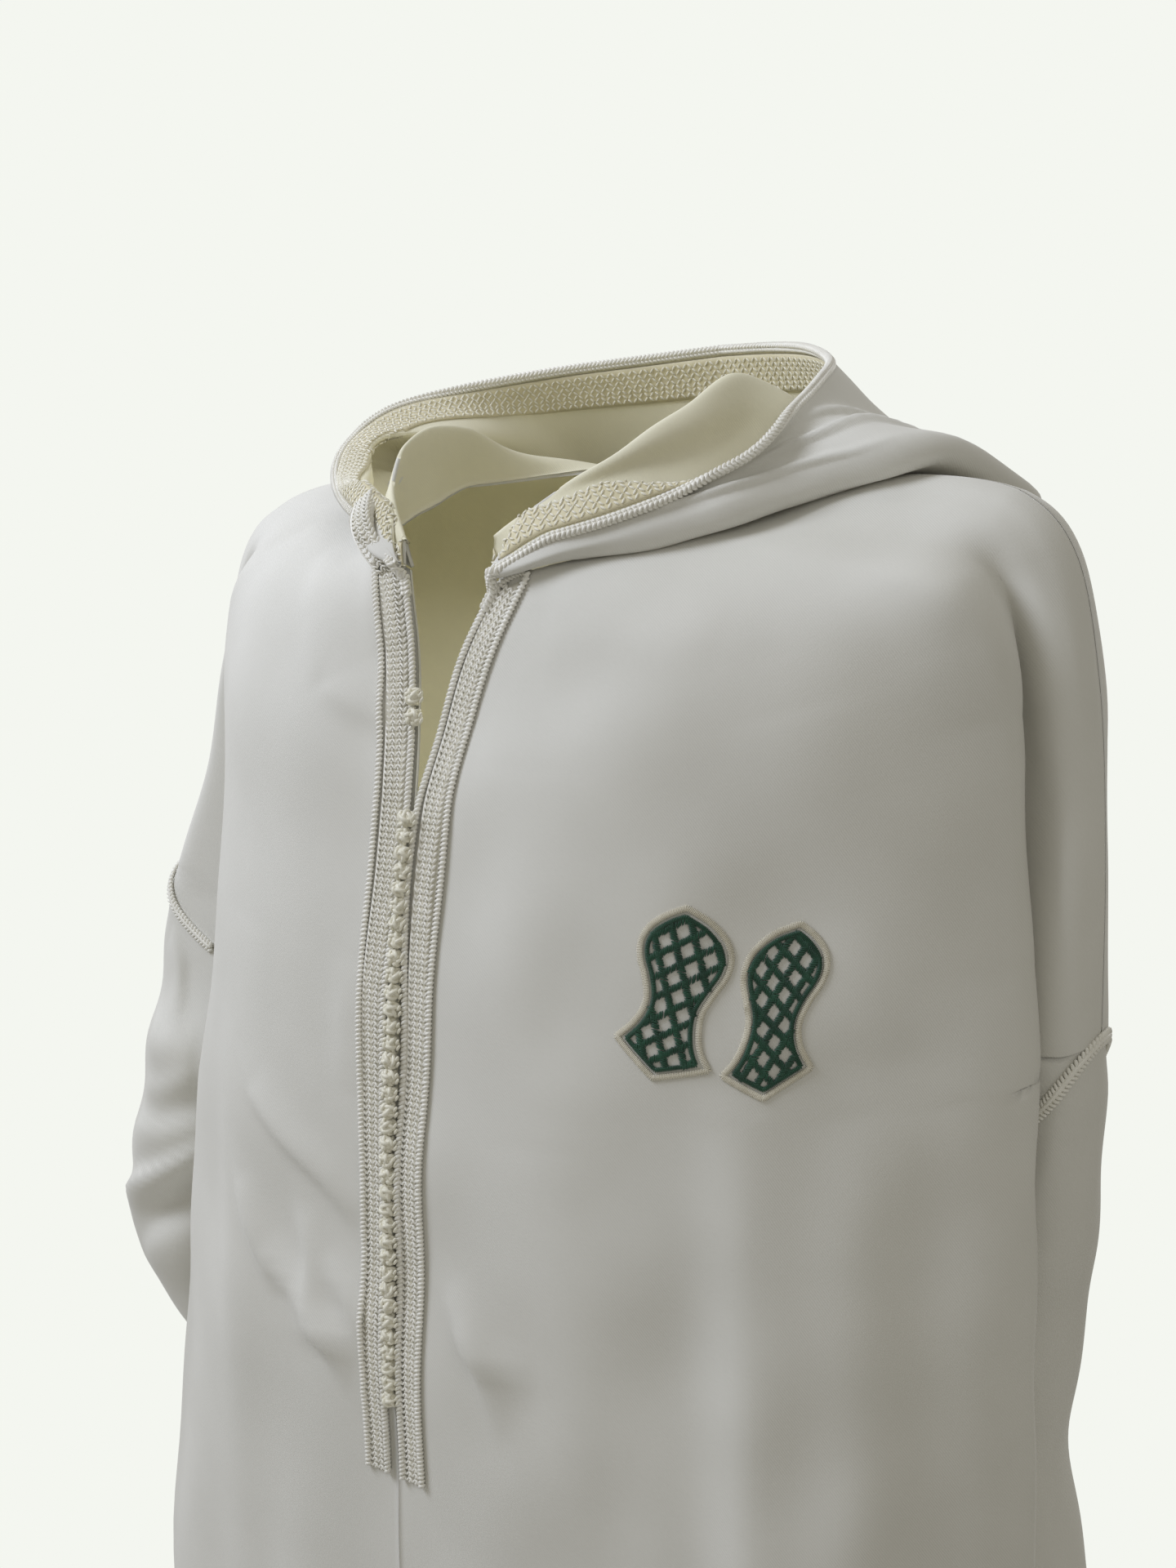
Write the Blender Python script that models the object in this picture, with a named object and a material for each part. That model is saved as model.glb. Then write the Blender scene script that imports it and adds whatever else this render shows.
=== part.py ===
"""Djellaba robe with its hood down, hollow, in the pose of a wearer with one bent arm.

Metres, +Z up, the front faces -Y and the robe's own left is +X.
The origin is the centre of the neck base, at the level where the robe rests on the shoulders.
"""
import math

import bpy
import numpy as np

# Driving sizes
WALL = 0.0016
SEAM = 0.0003
BAND_THICK = 0.0009
BAND_FROM = 0.0079
BAND_TO = 0.0181
INNER_CORD_AT = 0.0057
OUTER_CORD_AT = 0.0203
CORD_RADIUS = 0.0019
HOOD_CORD_RADIUS = 0.0026
BRAID_RADIUS = 0.0019
KNOT_RADIUS = 0.0034
KNOT_PITCH = 0.0071
KNOT_ROW = 36
KNOT_TOP_Z = -0.1190
THROAT_KNOTS_Z = (-0.0738, -0.0818)
BAND_END_ROW = 8.38
PATCH_THICK = 0.0010
PATCH_LIFT = 0.0007
SHOULDER_TILT = 0.014

# Where the stops of one section lie, from the front or back centre to the shoulder line
STOPS = np.array((0.0, 0.35, 0.65, 0.78, 0.90, 1.0))
CHEST_OUT = 0.53
CHEST_FLAT = 0.14
GROOVE = 3
SIDE_STOP = 0.78
UNDERARM_ROW = 7.0
UNDERARM_ROUND = 0.018

# One row for each section, from the neckline down to the hem.
# Each section runs from the centre over a lip (the edge of the chest or back) into a groove.
BODY_COLUMNS = ("front_z", "front_x", "front_y", "lip_x", "lip_y", "groove_x", "groove_y",
                "back_z", "back_y", "back_lip_x", "back_lip_y", "back_groove_x", "back_groove_y")
BODY_ROWS = (
    (-0.022, 0.0240, -0.088, 0.066, -0.040, 0.072, -0.018, 0.014, 0.078, 0.060, 0.056, 0.068, 0.042),
    (-0.055, 0.0120, -0.098, 0.122, -0.050, 0.136, -0.020, -0.018, 0.102, 0.118, 0.074, 0.134, 0.050),
    (-0.085, 0.0050, -0.106, 0.172, -0.048, 0.184, -0.018, -0.058, 0.117, 0.165, 0.085, 0.180, 0.058),
    (-0.116, 0.0002, -0.115, 0.202, -0.034, 0.204, -0.002, -0.100, 0.126, 0.188, 0.086, 0.198, 0.056),
    (-0.155, 0.0002, -0.121, 0.211, -0.024, 0.207, 0.003, -0.145, 0.130, 0.196, 0.083, 0.204, 0.050),
    (-0.195, 0.0002, -0.126, 0.217, -0.022, 0.207, 0.006, -0.190, 0.130, 0.198, 0.080, 0.202, 0.046),
    (-0.235, 0.0002, -0.129, 0.223, -0.022, 0.204, 0.006, -0.235, 0.127, 0.196, 0.078, 0.200, 0.040),
    (-0.275, 0.0002, -0.131, 0.228, -0.022, 0.184, 0.012, -0.275, 0.122, 0.186, 0.076, 0.184, 0.012),
    (-0.360, 0.0002, -0.132, 0.235, -0.022, 0.154, 0.008, -0.360, 0.112, 0.170, 0.078, 0.154, 0.008),
    (-0.500, 0.0002, -0.132, 0.243, -0.026, 0.158, 0.010, -0.500, 0.106, 0.174, 0.077, 0.158, 0.010),
    (-0.750, 0.0002, -0.140, 0.258, -0.046, 0.222, 0.012, -0.750, 0.125, 0.224, 0.080, 0.222, 0.012),
    (-1.050, 0.0002, -0.156, 0.284, -0.060, 0.284, 0.012, -1.050, 0.148, 0.270, 0.092, 0.284, 0.012),
    (-1.400, 0.0002, -0.174, 0.308, -0.074, 0.324, 0.012, -1.400, 0.168, 0.302, 0.100, 0.324, 0.012),
)

# The same sections past the groove, over the upper arm, down to the armhole.
ARM_COLUMNS = ("arm_x", "arm_y", "outer_x", "outer_y", "outer_z", "back_arm_x", "back_arm_y")
ARM_ROWS = (
    (0.076, -0.003, 0.078, 0.012, 0.006, 0.075, 0.028),
    (0.143, -0.002, 0.146, 0.014, 0.011, 0.143, 0.033),
    (0.192, -0.002, 0.196, 0.015, 0.003, 0.191, 0.038),
    (0.216, -0.001, 0.224, 0.016, -0.020, 0.214, 0.041),
    (0.229, -0.002, 0.237, 0.016, -0.070, 0.223, 0.044),
    (0.234, -0.003, 0.243, 0.016, -0.135, 0.227, 0.046),
    (0.236, -0.003, 0.245, 0.016, -0.205, 0.229, 0.046),
    (0.238, -0.003, 0.247, 0.016, -0.275, 0.231, 0.046),
)

# How much further out the chest's lip is on the left side than on the right, for each row
LIP_SHIFT = (0.0, 0.004, 0.008, 0.0095, 0.0095, 0.008, 0.007, 0.006, 0.004, 0.002, 0.0, 0.0, 0.0)

# How far the right arm is held out from the body, for each row down to the armhole
ARM_OUT = (0.0, 0.0, 0.0, 0.0, 0.001, 0.008, 0.032, 0.052)

# Where each armhole starts on the shoulder line, as a row number
ARMHOLE_ROW = {1: 6.00, -1: 5.85}

# Folds pressed into the body: side (+1 left), around (0 front centre, 2 back centre),
# top and bottom row, width in around, depth (minus is a trough), drift of around per row
FOLD_COLUMNS = ("side", "around", "top", "bottom", "width", "depth", "drift")
FOLD_ROWS = (
    (1, 0.30, 6.5, 12.8, 0.070, -0.010, -0.004),
    (1, 0.50, 7.0, 12.8, 0.060, 0.012, -0.006),
    (1, 0.16, 8.8, 12.8, 0.050, 0.010, 0.002),
    (-1, 0.24, 7.4, 12.8, 0.060, -0.010, 0.000),
    (-1, 0.42, 7.6, 12.8, 0.060, 0.011, -0.004),
    (-1, 0.12, 9.0, 12.8, 0.050, 0.009, 0.002),
    (1, 1.55, 5.0, 12.8, 0.060, -0.009, 0.006),
    (1, 1.75, 7.0, 12.8, 0.060, 0.012, 0.002),
    (1, 1.36, 8.0, 12.8, 0.050, 0.011, 0.004),
    (-1, 1.58, 5.0, 12.8, 0.060, -0.009, 0.006),
    (-1, 1.79, 7.0, 12.8, 0.060, 0.012, 0.002),
    (-1, 1.38, 8.0, 12.8, 0.050, 0.011, 0.004),
)

# The wearer's bent arm presses the right side in: row, rows each way, how far
HIP_PRESS_ROW = 8.95
HIP_PRESS_REACH = 0.95
HIP_PRESS = 0.038

# Sleeves below the armhole, one row for each ring: the ring's centre, its half width
# across the body and front to back, and how much it leans inward (degrees)
SLEEVE_COLUMNS = ("x", "y", "z", "half_across", "half_deep", "lean")
SLEEVE_LEFT_ROWS = (
    (0.218, 0.022, -0.235, 0.026, 0.028, 0.0),
    (0.217, 0.026, -0.275, 0.025, 0.028, 0.0),
    (0.209, 0.032, -0.325, 0.025, 0.029, 0.0),
    (0.202, 0.037, -0.390, 0.026, 0.033, 0.0),
    (0.209, 0.040, -0.470, 0.029, 0.038, 0.0),
    (0.227, 0.041, -0.540, 0.031, 0.042, 0.0),
    (0.247, 0.042, -0.605, 0.033, 0.048, 0.0),
)
SLEEVE_RIGHT_ROWS = (
    (-0.241, 0.012, -0.235, 0.032, 0.034, 10.0),
    (-0.250, 0.012, -0.280, 0.034, 0.038, 12.0),
    (-0.260, 0.012, -0.330, 0.036, 0.042, 10.0),
    (-0.267, 0.014, -0.382, 0.038, 0.046, -4.0),
    (-0.261, 0.022, -0.424, 0.037, 0.047, -32.0),
    (-0.241, 0.040, -0.466, 0.032, 0.046, -40.0),
    (-0.222, 0.060, -0.508, 0.028, 0.048, -32.0),
    (-0.212, 0.078, -0.552, 0.026, 0.052, -20.0),
)

# The hood from the centre back (around 2) to the front corner (around 0): how many body rows
# it reaches over, where around it turns, how thick the roll is, how much of a bag it is, and
# its edge on the near (left) and the far (right) side
HOOD_COLUMNS = ("around", "left_reach", "right_reach", "turn", "loft", "bag",
                "left_x", "left_y", "left_z", "right_x", "right_y", "right_z")
HOOD_ROWS = (
    (2.00, 7.90, 7.90, 2.00, 0.030, 1.0, -0.012, 0.122, 0.062, -0.012, 0.122, 0.062),
    (1.80, 6.60, 6.60, 1.90, 0.032, 1.0, 0.022, 0.114, 0.064, -0.050, 0.112, 0.057),
    (1.60, 4.40, 4.50, 1.76, 0.030, 0.8, 0.056, 0.092, 0.064, -0.092, 0.096, 0.051),
    (1.38, 2.50, 2.70, 1.52, 0.026, 0.4, 0.086, 0.062, 0.060, -0.128, 0.070, 0.043),
    (1.15, 1.50, 1.70, 1.24, 0.023, 0.0, 0.104, 0.026, 0.054, -0.146, 0.036, 0.034),
    (0.92, 1.14, 1.36, 0.98, 0.021, 0.0, 0.111, -0.008, 0.042, -0.142, 0.002, 0.020),
    (0.66, 1.02, 1.16, 0.72, 0.019, 0.0, 0.104, -0.038, 0.024, -0.116, -0.034, 0.008),
    (0.34, 0.78, 0.86, 0.42, 0.016, 0.0, 0.074, -0.074, 0.006, -0.076, -0.069, 0.001),
    (0.00, 0.20, 0.20, 0.04, 0.010, 0.0, 0.031, -0.096, -0.009, -0.029, -0.093, -0.011),
)
HOOD_STOPS = np.array((0.0, 0.07, 0.22, 0.42, 0.50, 0.58, 0.80, 1.0))
ARMHOLE_STEPS = 8
FLAT_COLUMNS = 8
LIP_COLUMNS = 4
OVER_COLUMNS = 4
NARROW_OVER = 0.05
UNDERARM_GAP = 0.0014
UNDERARM_GAP_ROWS = 0.5
BRAID_STEPS = 5
HOOD_CLEAR = 0.0060

# Sole shaped patches: distance along the sole, half width to the left and to the right of its middle
SOLE_COLUMNS = ("along", "left", "right")
SOLE_ROWS = (
    (0.00, 0.0012, 0.0012),
    (0.16, 0.0175, 0.0200),
    (0.20, 0.0215, 0.0165),
    (0.30, 0.0162, 0.0115),
    (0.42, 0.0131, 0.0093),
    (0.56, 0.0165, 0.0150),
    (0.70, 0.0210, 0.0203),
    (0.80, 0.0200, 0.0180),
    (0.89, 0.0155, 0.0120),
    (1.00, 0.0012, 0.0012),
)
SOLE_LENGTH = 0.0705

# Each patch: its heel point's x and z, its tilt in degrees, its width in x as a share of the
# sole's own, and its hand (-1 is the mirror image)
PATCHES = {"patch_inner": (0.1215, -0.2072, 6, 0.88, 1), "patch_outer": (0.1552, -0.2125, 8, 0.68, -1)}

# Plain colours and finishes: red, green, blue, roughness
CLOTH = (0.80, 0.78, 0.71, 0.85)
SILVER_THREAD = (0.86, 0.85, 0.80, 0.45)
PATCH_THREAD = (0.10, 0.24, 0.15, 0.60)


def columns(names, rows):
    """The rows of a table as one array for each named column."""
    table = np.array(rows, float)
    return {name: table[:, index] for index, name in enumerate(names)}


BODY = columns(BODY_COLUMNS, BODY_ROWS)
ARM = columns(ARM_COLUMNS, ARM_ROWS)
FOLDS = columns(FOLD_COLUMNS, FOLD_ROWS)
HOOD = columns(HOOD_COLUMNS, HOOD_ROWS)
SOLE = columns(SOLE_COLUMNS, SOLE_ROWS)


def ease(value):
    """0 to 1 with a soft start and end."""
    value = np.clip(value, 0.0, 1.0)
    return value * value * (3.0 - 2.0 * value)


def unit(vectors):
    return vectors / np.maximum(np.linalg.norm(vectors, axis=-1, keepdims=True), 1e-12)


def slopes(stops, values):
    """Slope at each stop of the smooth curve through the values (stops on the first axis)."""
    stops = stops.reshape((-1,) + (1,) * (values.ndim - 1))
    slope = np.empty_like(values)
    slope[1:-1] = (values[2:] - values[:-2]) / (stops[2:] - stops[:-2])
    slope[0] = (values[1] - values[0]) / (stops[1] - stops[0])
    slope[-1] = (values[-1] - values[-2]) / (stops[-1] - stops[-2])
    return slope


def hermite(stops, values, slope, place):
    """Values at the places, where values and slope hold the curve's stops on their first axis."""
    index = np.clip(np.searchsorted(stops, place, side="right") - 1, 0, len(stops) - 2)
    span = stops[index + 1] - stops[index]
    part = (place - stops[index]) / span
    if values.ndim > 1:
        extra = values.ndim - 1 - place.ndim if values.ndim > place.ndim + 1 else values.ndim - 1
        part = part.reshape(part.shape + (1,) * extra)
        span = span.reshape(span.shape + (1,) * extra)
    start, end = pick(values, index), pick(values, index + 1)
    start_slope, end_slope = pick(slope, index) * span, pick(slope, index + 1) * span
    cube, square = part ** 3, part ** 2
    return ((2 * cube - 3 * square + 1) * start + (cube - 2 * square + part) * start_slope
            + (3 * square - 2 * cube) * end + (cube - square) * end_slope)


def pick(values, index):
    """values[index] along the first axis, point by point where the rest matches the index."""
    if values.ndim == index.ndim + 2 and values.shape[1:-1] == index.shape:
        return np.take_along_axis(values, index[None, ..., None], axis=0)[0]
    return values[index]


def through(stops, values, place):
    """A smooth curve through one column of a table."""
    return hermite(stops, values, slopes(stops, values), np.asarray(place, float))


BODY_STOPS = np.arange(len(BODY_ROWS), dtype=float)
ARM_STOPS = np.arange(len(ARM_ROWS), dtype=float)


def body_value(name, row):
    return through(BODY_STOPS, BODY[name], row)


def arm_value(name, row):
    return through(ARM_STOPS, ARM[name], np.minimum(row, ARM_STOPS[-1]))


def hip_press(side, row):
    if side > 0:
        return np.zeros_like(row)
    return HIP_PRESS * np.cos(np.clip((row - HIP_PRESS_ROW) / HIP_PRESS_REACH, -1, 1) * math.pi / 2) ** 2


def section_stops(side, face, row):
    """The six points that one section passes through, on the face 'front' or 'back'."""
    row = np.asarray(row, float)
    back = face == "back"
    prefix = "back_" if back else ""
    centre_x = np.zeros_like(row) if back else np.maximum(body_value("front_x", row), SEAM * 0.6)
    centre_y = body_value("back_y" if back else "front_y", row)
    centre_z = body_value("back_z" if back else "front_z", row)
    press = hip_press(side, row)
    lip_x = body_value(prefix + "lip_x", row)
    if back:
        lip_x = lip_x - press
    else:
        lip_x = lip_x + side * through(BODY_STOPS, np.array(LIP_SHIFT), row)
    arm_out = through(ARM_STOPS, np.array(ARM_OUT), np.minimum(row, ARM_STOPS[-1])) * (side < 0)
    lip_y = body_value(prefix + "lip_y", row)
    groove_x = body_value(prefix + "groove_x", row) - press
    groove_y = body_value(prefix + "groove_y", row)
    seam_x = (body_value("groove_x", row) + body_value("back_groove_x", row)) / 2 - press
    seam_y = (body_value("groove_y", row) + body_value("back_groove_y", row)) / 2
    below = row >= UNDERARM_ROW
    above = np.clip(row - UNDERARM_ROW + 1, 0, 1)
    parting = UNDERARM_ROUND * above * np.sqrt(1 - above) * (1 if back else -1)
    groove_x = np.where(below, seam_x, groove_x)
    groove_y = np.where(below, seam_y, groove_y + parting)
    chest_x = centre_x + CHEST_OUT * (lip_x - centre_x)
    chest_y = centre_y + CHEST_FLAT * (lip_y - centre_y)
    arm_x = arm_value(prefix + "arm_x", row) + arm_out
    arm_y = arm_value(prefix + "arm_y", row)
    outer_x = arm_value("outer_x", row) + arm_out
    outer_y = arm_value("outer_y", row)
    rise = np.where(row < UNDERARM_ROW, arm_value("outer_z", row) - centre_z, 0.0)
    across = (centre_x, chest_x, lip_x, groove_x, arm_x, outer_x)
    deep = (centre_y, chest_y, lip_y, groove_y, arm_y, outer_y)
    points = [np.stack((side * x, y, centre_z + rise * stop), -1)
              for x, y, stop in zip(across, deep, STOPS)]
    return np.stack(points)


def half_section(side, face, part, row):
    """Points of the plain body, where part is 0 at the centre and 1 at the shoulder line."""
    points = section_stops(side, face, row)
    other = section_stops(side, "front" if face == "back" else "back", row)
    slope = slopes(STOPS, points)
    slope[0] = slope[0] * np.array((1.0, 0.0, 1.0))
    slope[5] = (other[4] - points[4]) / (2 * (STOPS[5] - STOPS[4]))
    arm_part = hermite(STOPS, points, slope, part)
    past_side = (other[2] - points[2]) / (2 * (STOPS[GROOVE] - STOPS[2]))
    share = ease(row - UNDERARM_ROW + 1)[..., None]
    slope[GROOVE] = slope[GROOVE] * (1 - share) + past_side * share
    chest_part = hermite(STOPS, points, slope, part)
    side_seam = (row >= UNDERARM_ROW) | (part <= STOPS[GROOVE])
    return np.where(side_seam[..., None], chest_part, arm_part)


def plain_body(side, around, row):
    """Points of the body without folds: around is 0 at the front centre and 2 at the back centre."""
    around, row = np.broadcast_arrays(np.asarray(around, float), np.asarray(row, float))
    front = half_section(side, "front", np.clip(around, 0, 1), row)
    back = half_section(side, "back", np.clip(2 - around, 0, 1), row)
    points = np.where((around <= 1)[..., None], front, back)
    tilt = side * SHOULDER_TILT * np.minimum(1, np.abs(points[..., 0]) / 0.2) ** 2
    points[..., 2] += tilt * (1 - ease((row - 4) / 4))
    return points


def normals_of(surface, across, along, step=0.002):
    """Unit outward normals of a surface function, from its two tangents."""
    one = surface(across + step, along) - surface(across - step, along)
    two = surface(across, along + step * 8) - surface(across, along - step * 8)
    return unit(np.cross(one, two))


def fold_height(side, around, row):
    """How far the folds stand out of the plain body."""
    height = np.zeros(np.broadcast(around, row).shape)
    for index in range(len(FOLD_ROWS)):
        if FOLDS["side"][index] != side:
            continue
        top, bottom = FOLDS["top"][index], FOLDS["bottom"][index]
        middle = FOLDS["around"][index] + FOLDS["drift"][index] * (row - top)
        grow = ease((row - top) / 3.0) * ease((bottom - row) / 0.8)
        shape = np.exp(-((around - middle) / FOLDS["width"][index]) ** 2)
        height += FOLDS["depth"][index] * grow * shape
    return height


def body(side, around, row):
    """Points of the body's outer face, and its outward normals."""
    around, row = np.broadcast_arrays(np.asarray(around, float), np.asarray(row, float))

    def folded(a, r):
        a = np.clip(a, 0.0, 2.0)
        r = np.clip(r, 0.0, BODY_STOPS[-1])
        plain = plain_body(side, a, r)
        inward = normals_of(lambda p, q: plain_body(side, np.clip(p, 0, 2), np.clip(q, 0, 12)), a, r)
        return plain - side * inward * fold_height(side, a, r)[..., None]

    return folded(around, row), -side * normals_of(folded, around, row)


def armhole_end(side, row):
    """How far a section runs at a row: to the shoulder line, the armhole or the side seam."""
    start = ARMHOLE_ROW[side]
    part = np.clip((row - start) / (UNDERARM_ROW - start), 0, 1)
    return 1 - (1 - SIDE_STOP) * np.sqrt(part) * (1 - 0.25 * part * (1 - part))


def seam_normal(side, around, row):
    """The normal that both panels share at the shoulder line and the side seam."""
    ahead = body(side, around, row)[1]
    behind = body(side, 2 - around, row)[1]
    return unit(ahead + behind)


def armhole_row(side, half):
    """Row number at a share of the armhole, from the shoulder line (0) to the underarm (1)."""
    start = ARMHOLE_ROW[side]
    return start + (UNDERARM_ROW - start) * half ** 1.4


def panel_rows(side):
    """Row numbers of a panel's sections, closer over the shoulder, with the armhole's own."""
    upper = np.linspace(0, ARMHOLE_ROW[side], 10)
    armhole = armhole_row(side, np.linspace(0, 1, ARMHOLE_STEPS + 1)[1:])
    lower = np.linspace(UNDERARM_ROW, 12, 10)[1:]
    return np.concatenate((upper, armhole, lower))


def panel_places(side):
    """Section fraction of each column at each row, for one half of a panel.

    The last OVER_COLUMNS columns lie over the arm: they close up where the underarm is reached.
    """
    rows = panel_rows(side)[:, None]
    ends = np.where(rows < UNDERARM_ROW, armhole_end(side, rows), SIDE_STOP)
    flat = np.linspace(0, STOPS[2], FLAT_COLUMNS + 1)[None, :].repeat(len(rows), 0)
    lip = np.linspace(STOPS[2], SIDE_STOP, LIP_COLUMNS + 1)[None, 1:].repeat(len(rows), 0)
    used = np.maximum(edge_column(side) - FLAT_COLUMNS - LIP_COLUMNS, 1)[:, None]
    share = np.minimum(np.arange(1, OVER_COLUMNS + 1)[None, :] / used, 1)
    return np.concatenate((flat, lip, SIDE_STOP + (ends - SIDE_STOP) * share), 1), rows


def edge_column(side):
    """The column that each row of a panel ends at."""
    rows = panel_rows(side)
    narrow = armhole_end(side, rows) - SIDE_STOP < NARROW_OVER
    over = np.where(rows >= UNDERARM_ROW, 0, np.where(narrow, 1, OVER_COLUMNS))
    return FLAT_COLUMNS + LIP_COLUMNS + over


def underarm_gap(row):
    """Extra distance between the pieces where four seams meet under the arm."""
    return UNDERARM_GAP * np.maximum(1 - np.abs(row - UNDERARM_ROW) / UNDERARM_GAP_ROWS, 0)


def part_seam(points, out, side):
    """Moves a panel's edge back from its seam, square to the seam and in the cloth's plane."""
    moved = points.copy()
    row, last = np.arange(len(points)), edge_column(side)
    along = np.gradient(points[row, last], axis=0)
    back = unit(np.cross(out[row, last], along))
    towards = np.sum(back * (points[row, last - 1] - points[row, last]))
    gap = SEAM * 0.6 + underarm_gap(panel_rows(side))[:, None]
    moved[row, last] += back * gap * math.copysign(1.0, towards)
    return moved


def panel_faces(side, count):
    """Quads of half a panel, where the columns over the arm close up at the underarm."""
    last = edge_column(side)

    def spot(i, j):
        return i * count + min(j, last[i])

    faces = []
    for i in range(len(last) - 1):
        for j in range(last[i]):
            corners = [spot(i, j), spot(i + 1, j), spot(i + 1, j + 1), spot(i, j + 1)]
            faces.append([c for index, c in enumerate(corners) if c != corners[index - 1]])
    return [face for face in faces if len(face) > 2]


def grid_faces(rows, cols, closed):
    """Quads of a grid of points, joined round where it is a tube."""
    across = cols if closed else cols - 1
    return [(i * cols + j, (i + 1) * cols + j, (i + 1) * cols + (j + 1) % cols, i * cols + (j + 1) % cols)
            for i in range(rows - 1) for j in range(across)]


def triangles(face, points):
    """A face split along its shorter diagonal, so that both layers of a wall are split alike."""
    if len(face) == 3:
        return [tuple(face)]
    a, b, c, d = face
    if np.sum((points[a] - points[c]) ** 2) <= np.sum((points[b] - points[d]) ** 2):
        return [(a, b, c), (a, c, d)]
    return [(a, b, d), (b, c, d)]


def wall(name, outer, inner, closed=False, finish=CLOTH, faces=None):
    """A closed solid between two grids of points: both layers and a rim round every open edge."""
    if faces is None:
        faces = grid_faces(outer.shape[0], outer.shape[1], closed)
    outer, inner = outer.reshape(-1, 3), inner.reshape(-1, 3)
    faces = [piece for face in faces for piece in triangles(face, outer)]
    used = sorted({spot for face in faces for spot in face})
    place = {spot: index for index, spot in enumerate(used)}
    faces = [[place[spot] for spot in face] for face in faces]
    count = len(used)
    edges = {(face[k - 1], face[k]) for face in faces for k in range(len(face))}
    rims = [(b, a, a + count, b + count) for a, b in sorted(edges) if (b, a) not in edges]
    solid = faces + [[spot + count for spot in reversed(face)] for face in faces] + rims
    return add_object(name, np.concatenate((outer[used], inner[used])), solid, finish)


def add_object(name, points, faces, finish):
    """An object from points and faces, with its faces turned outward and its own material."""
    mesh = bpy.data.meshes.new(name)
    mesh.from_pydata([tuple(map(float, point)) for point in points], [], faces)
    if signed_volume(mesh) < 0:
        mesh.flip_normals()
    mesh.shade_smooth()
    mesh.set_sharp_from_angle(angle=math.radians(60))
    shape = bpy.data.objects.new(name, mesh)
    bpy.context.scene.collection.objects.link(shape)
    mesh.materials.append(material(name, finish))
    return shape


def signed_volume(mesh):
    mesh.calc_loop_triangles()
    total = 0.0
    for triangle in mesh.loop_triangles:
        a, b, c = (mesh.vertices[index].co for index in triangle.vertices)
        total += a.dot(b.cross(c))
    return total / 6


def material(name, finish):
    shade = bpy.data.materials.new(name)
    shade.use_nodes = True
    shader = shade.node_tree.nodes["Principled BSDF"]
    shader.inputs["Base Color"].default_value = (finish[0], finish[1], finish[2], 1.0)
    shader.inputs["Roughness"].default_value = finish[3]
    shader.inputs["Metallic"].default_value = 0.0
    return shade


def half_panel(side, face):
    """Outer points and normals of one half of a front or back panel, parted from its seams."""
    places, rows = panel_places(side)
    around = places if face == "front" else 2 - places
    points, out = body(side, around, rows)
    row, last = np.arange(len(rows)), edge_column(side)
    shared = seam_normal(side, around[row, last], rows[:, 0])
    near = ease((rows - UNDERARM_ROW + 0.45) / 0.4)
    near[rows < ARMHOLE_ROW[side] + 0.01] = 1.0
    out[row, last] = unit(out[row, last] * (1 - near) + shared * near)
    return part_seam(points, out, side), out


def front_panel(name, side):
    points, out = half_panel(side, "front")
    return wall(name, points, points - out * WALL, faces=panel_faces(side, points.shape[1]))


def back_panel():
    """Both halves of the back in one piece, which share the column at the centre back."""
    left, left_out = half_panel(1, "back")
    right, right_out = half_panel(-1, "back")
    count = left.shape[1]
    left_out[:, 0] = right_out[:, 0] = unit(left_out[:, 0] + right_out[:, 0])
    points = np.concatenate((left.reshape(-1, 3), right.reshape(-1, 3)))
    out = np.concatenate((left_out.reshape(-1, 3), right_out.reshape(-1, 3)))
    start = len(points) // 2
    centre = {start + row * count: row * count for row in range(len(left))}
    faces = [tuple(reversed(face)) for face in panel_faces(1, count)]
    for face in panel_faces(-1, count):
        faces.append([centre.get(start + spot, start + spot) for spot in face])
    return wall("back", points, points - out * WALL, faces=faces)


def armhole_loop(side, turn):
    """Points of the armhole: turn 0 is the shoulder line, 0.5 the underarm, by way of the front."""
    turn = np.asarray(turn, float) % 1.0
    row = armhole_row(side, 1 - np.abs(2 * turn - 1))
    end = armhole_end(side, row)
    around = np.where(turn <= 0.5, end, 2 - end)
    return body(side, around, row)


def sleeve_ring(rows, place, turn, side):
    """Points of the sleeve's plain tube at a ring number and a turn."""
    table = columns(SLEEVE_COLUMNS, rows)
    stops = np.arange(len(rows), dtype=float)
    value = {name: through(stops, table[name], place) for name in SLEEVE_COLUMNS}
    angle = 2 * math.pi * turn
    across = value["half_across"] * np.cos(angle)
    deep = -value["half_deep"] * np.sin(angle)
    lean = np.radians(value["lean"])
    return np.stack((value["x"] + side * across * np.cos(lean), value["y"] + deep,
                     value["z"] + across * np.sin(lean)), -1)


SLEEVE_ROWS = {1: SLEEVE_LEFT_ROWS, -1: SLEEVE_RIGHT_ROWS}


def sleeve_points(side, place, turn):
    """The sleeve from the armhole (place 0) to the cuff: the loop's shape fades into the tube."""
    rows = SLEEVE_ROWS[side]
    place, turn = np.broadcast_arrays(np.asarray(place, float), np.asarray(turn, float))
    tube = sleeve_ring(rows, place, turn, side)
    loop = armhole_loop(side, turn)[0]
    start = sleeve_ring(rows, np.zeros_like(place), turn, side)
    fade = (1 - ease(place / 1.6))[..., None]
    return tube + (loop - start) * fade


def sleeve(name, side, rings=13, around=2 * ARMHOLE_STEPS):
    turn = np.arange(around) / around
    place = np.linspace(0, 1, rings)[:, None] ** 1.1 * (len(SLEEVE_ROWS[side]) - 1)
    points = sleeve_points(side, place, turn[None, :])
    out = grid_normals(points, closed=True) * side
    loop_out = armhole_loop(side, turn)[1]
    agree = np.sum(out[0] * loop_out, axis=-1) > 0.3
    out[0] = np.where(agree[:, None], loop_out, out[0])
    gap = SEAM * 0.8 + underarm_gap(armhole_row(side, 1 - np.abs(2 * turn - 1)))
    points[0] += unit(points[1] - points[0]) * gap[:, None]
    return wall(name, points, points - out * WALL, closed=True)


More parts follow.
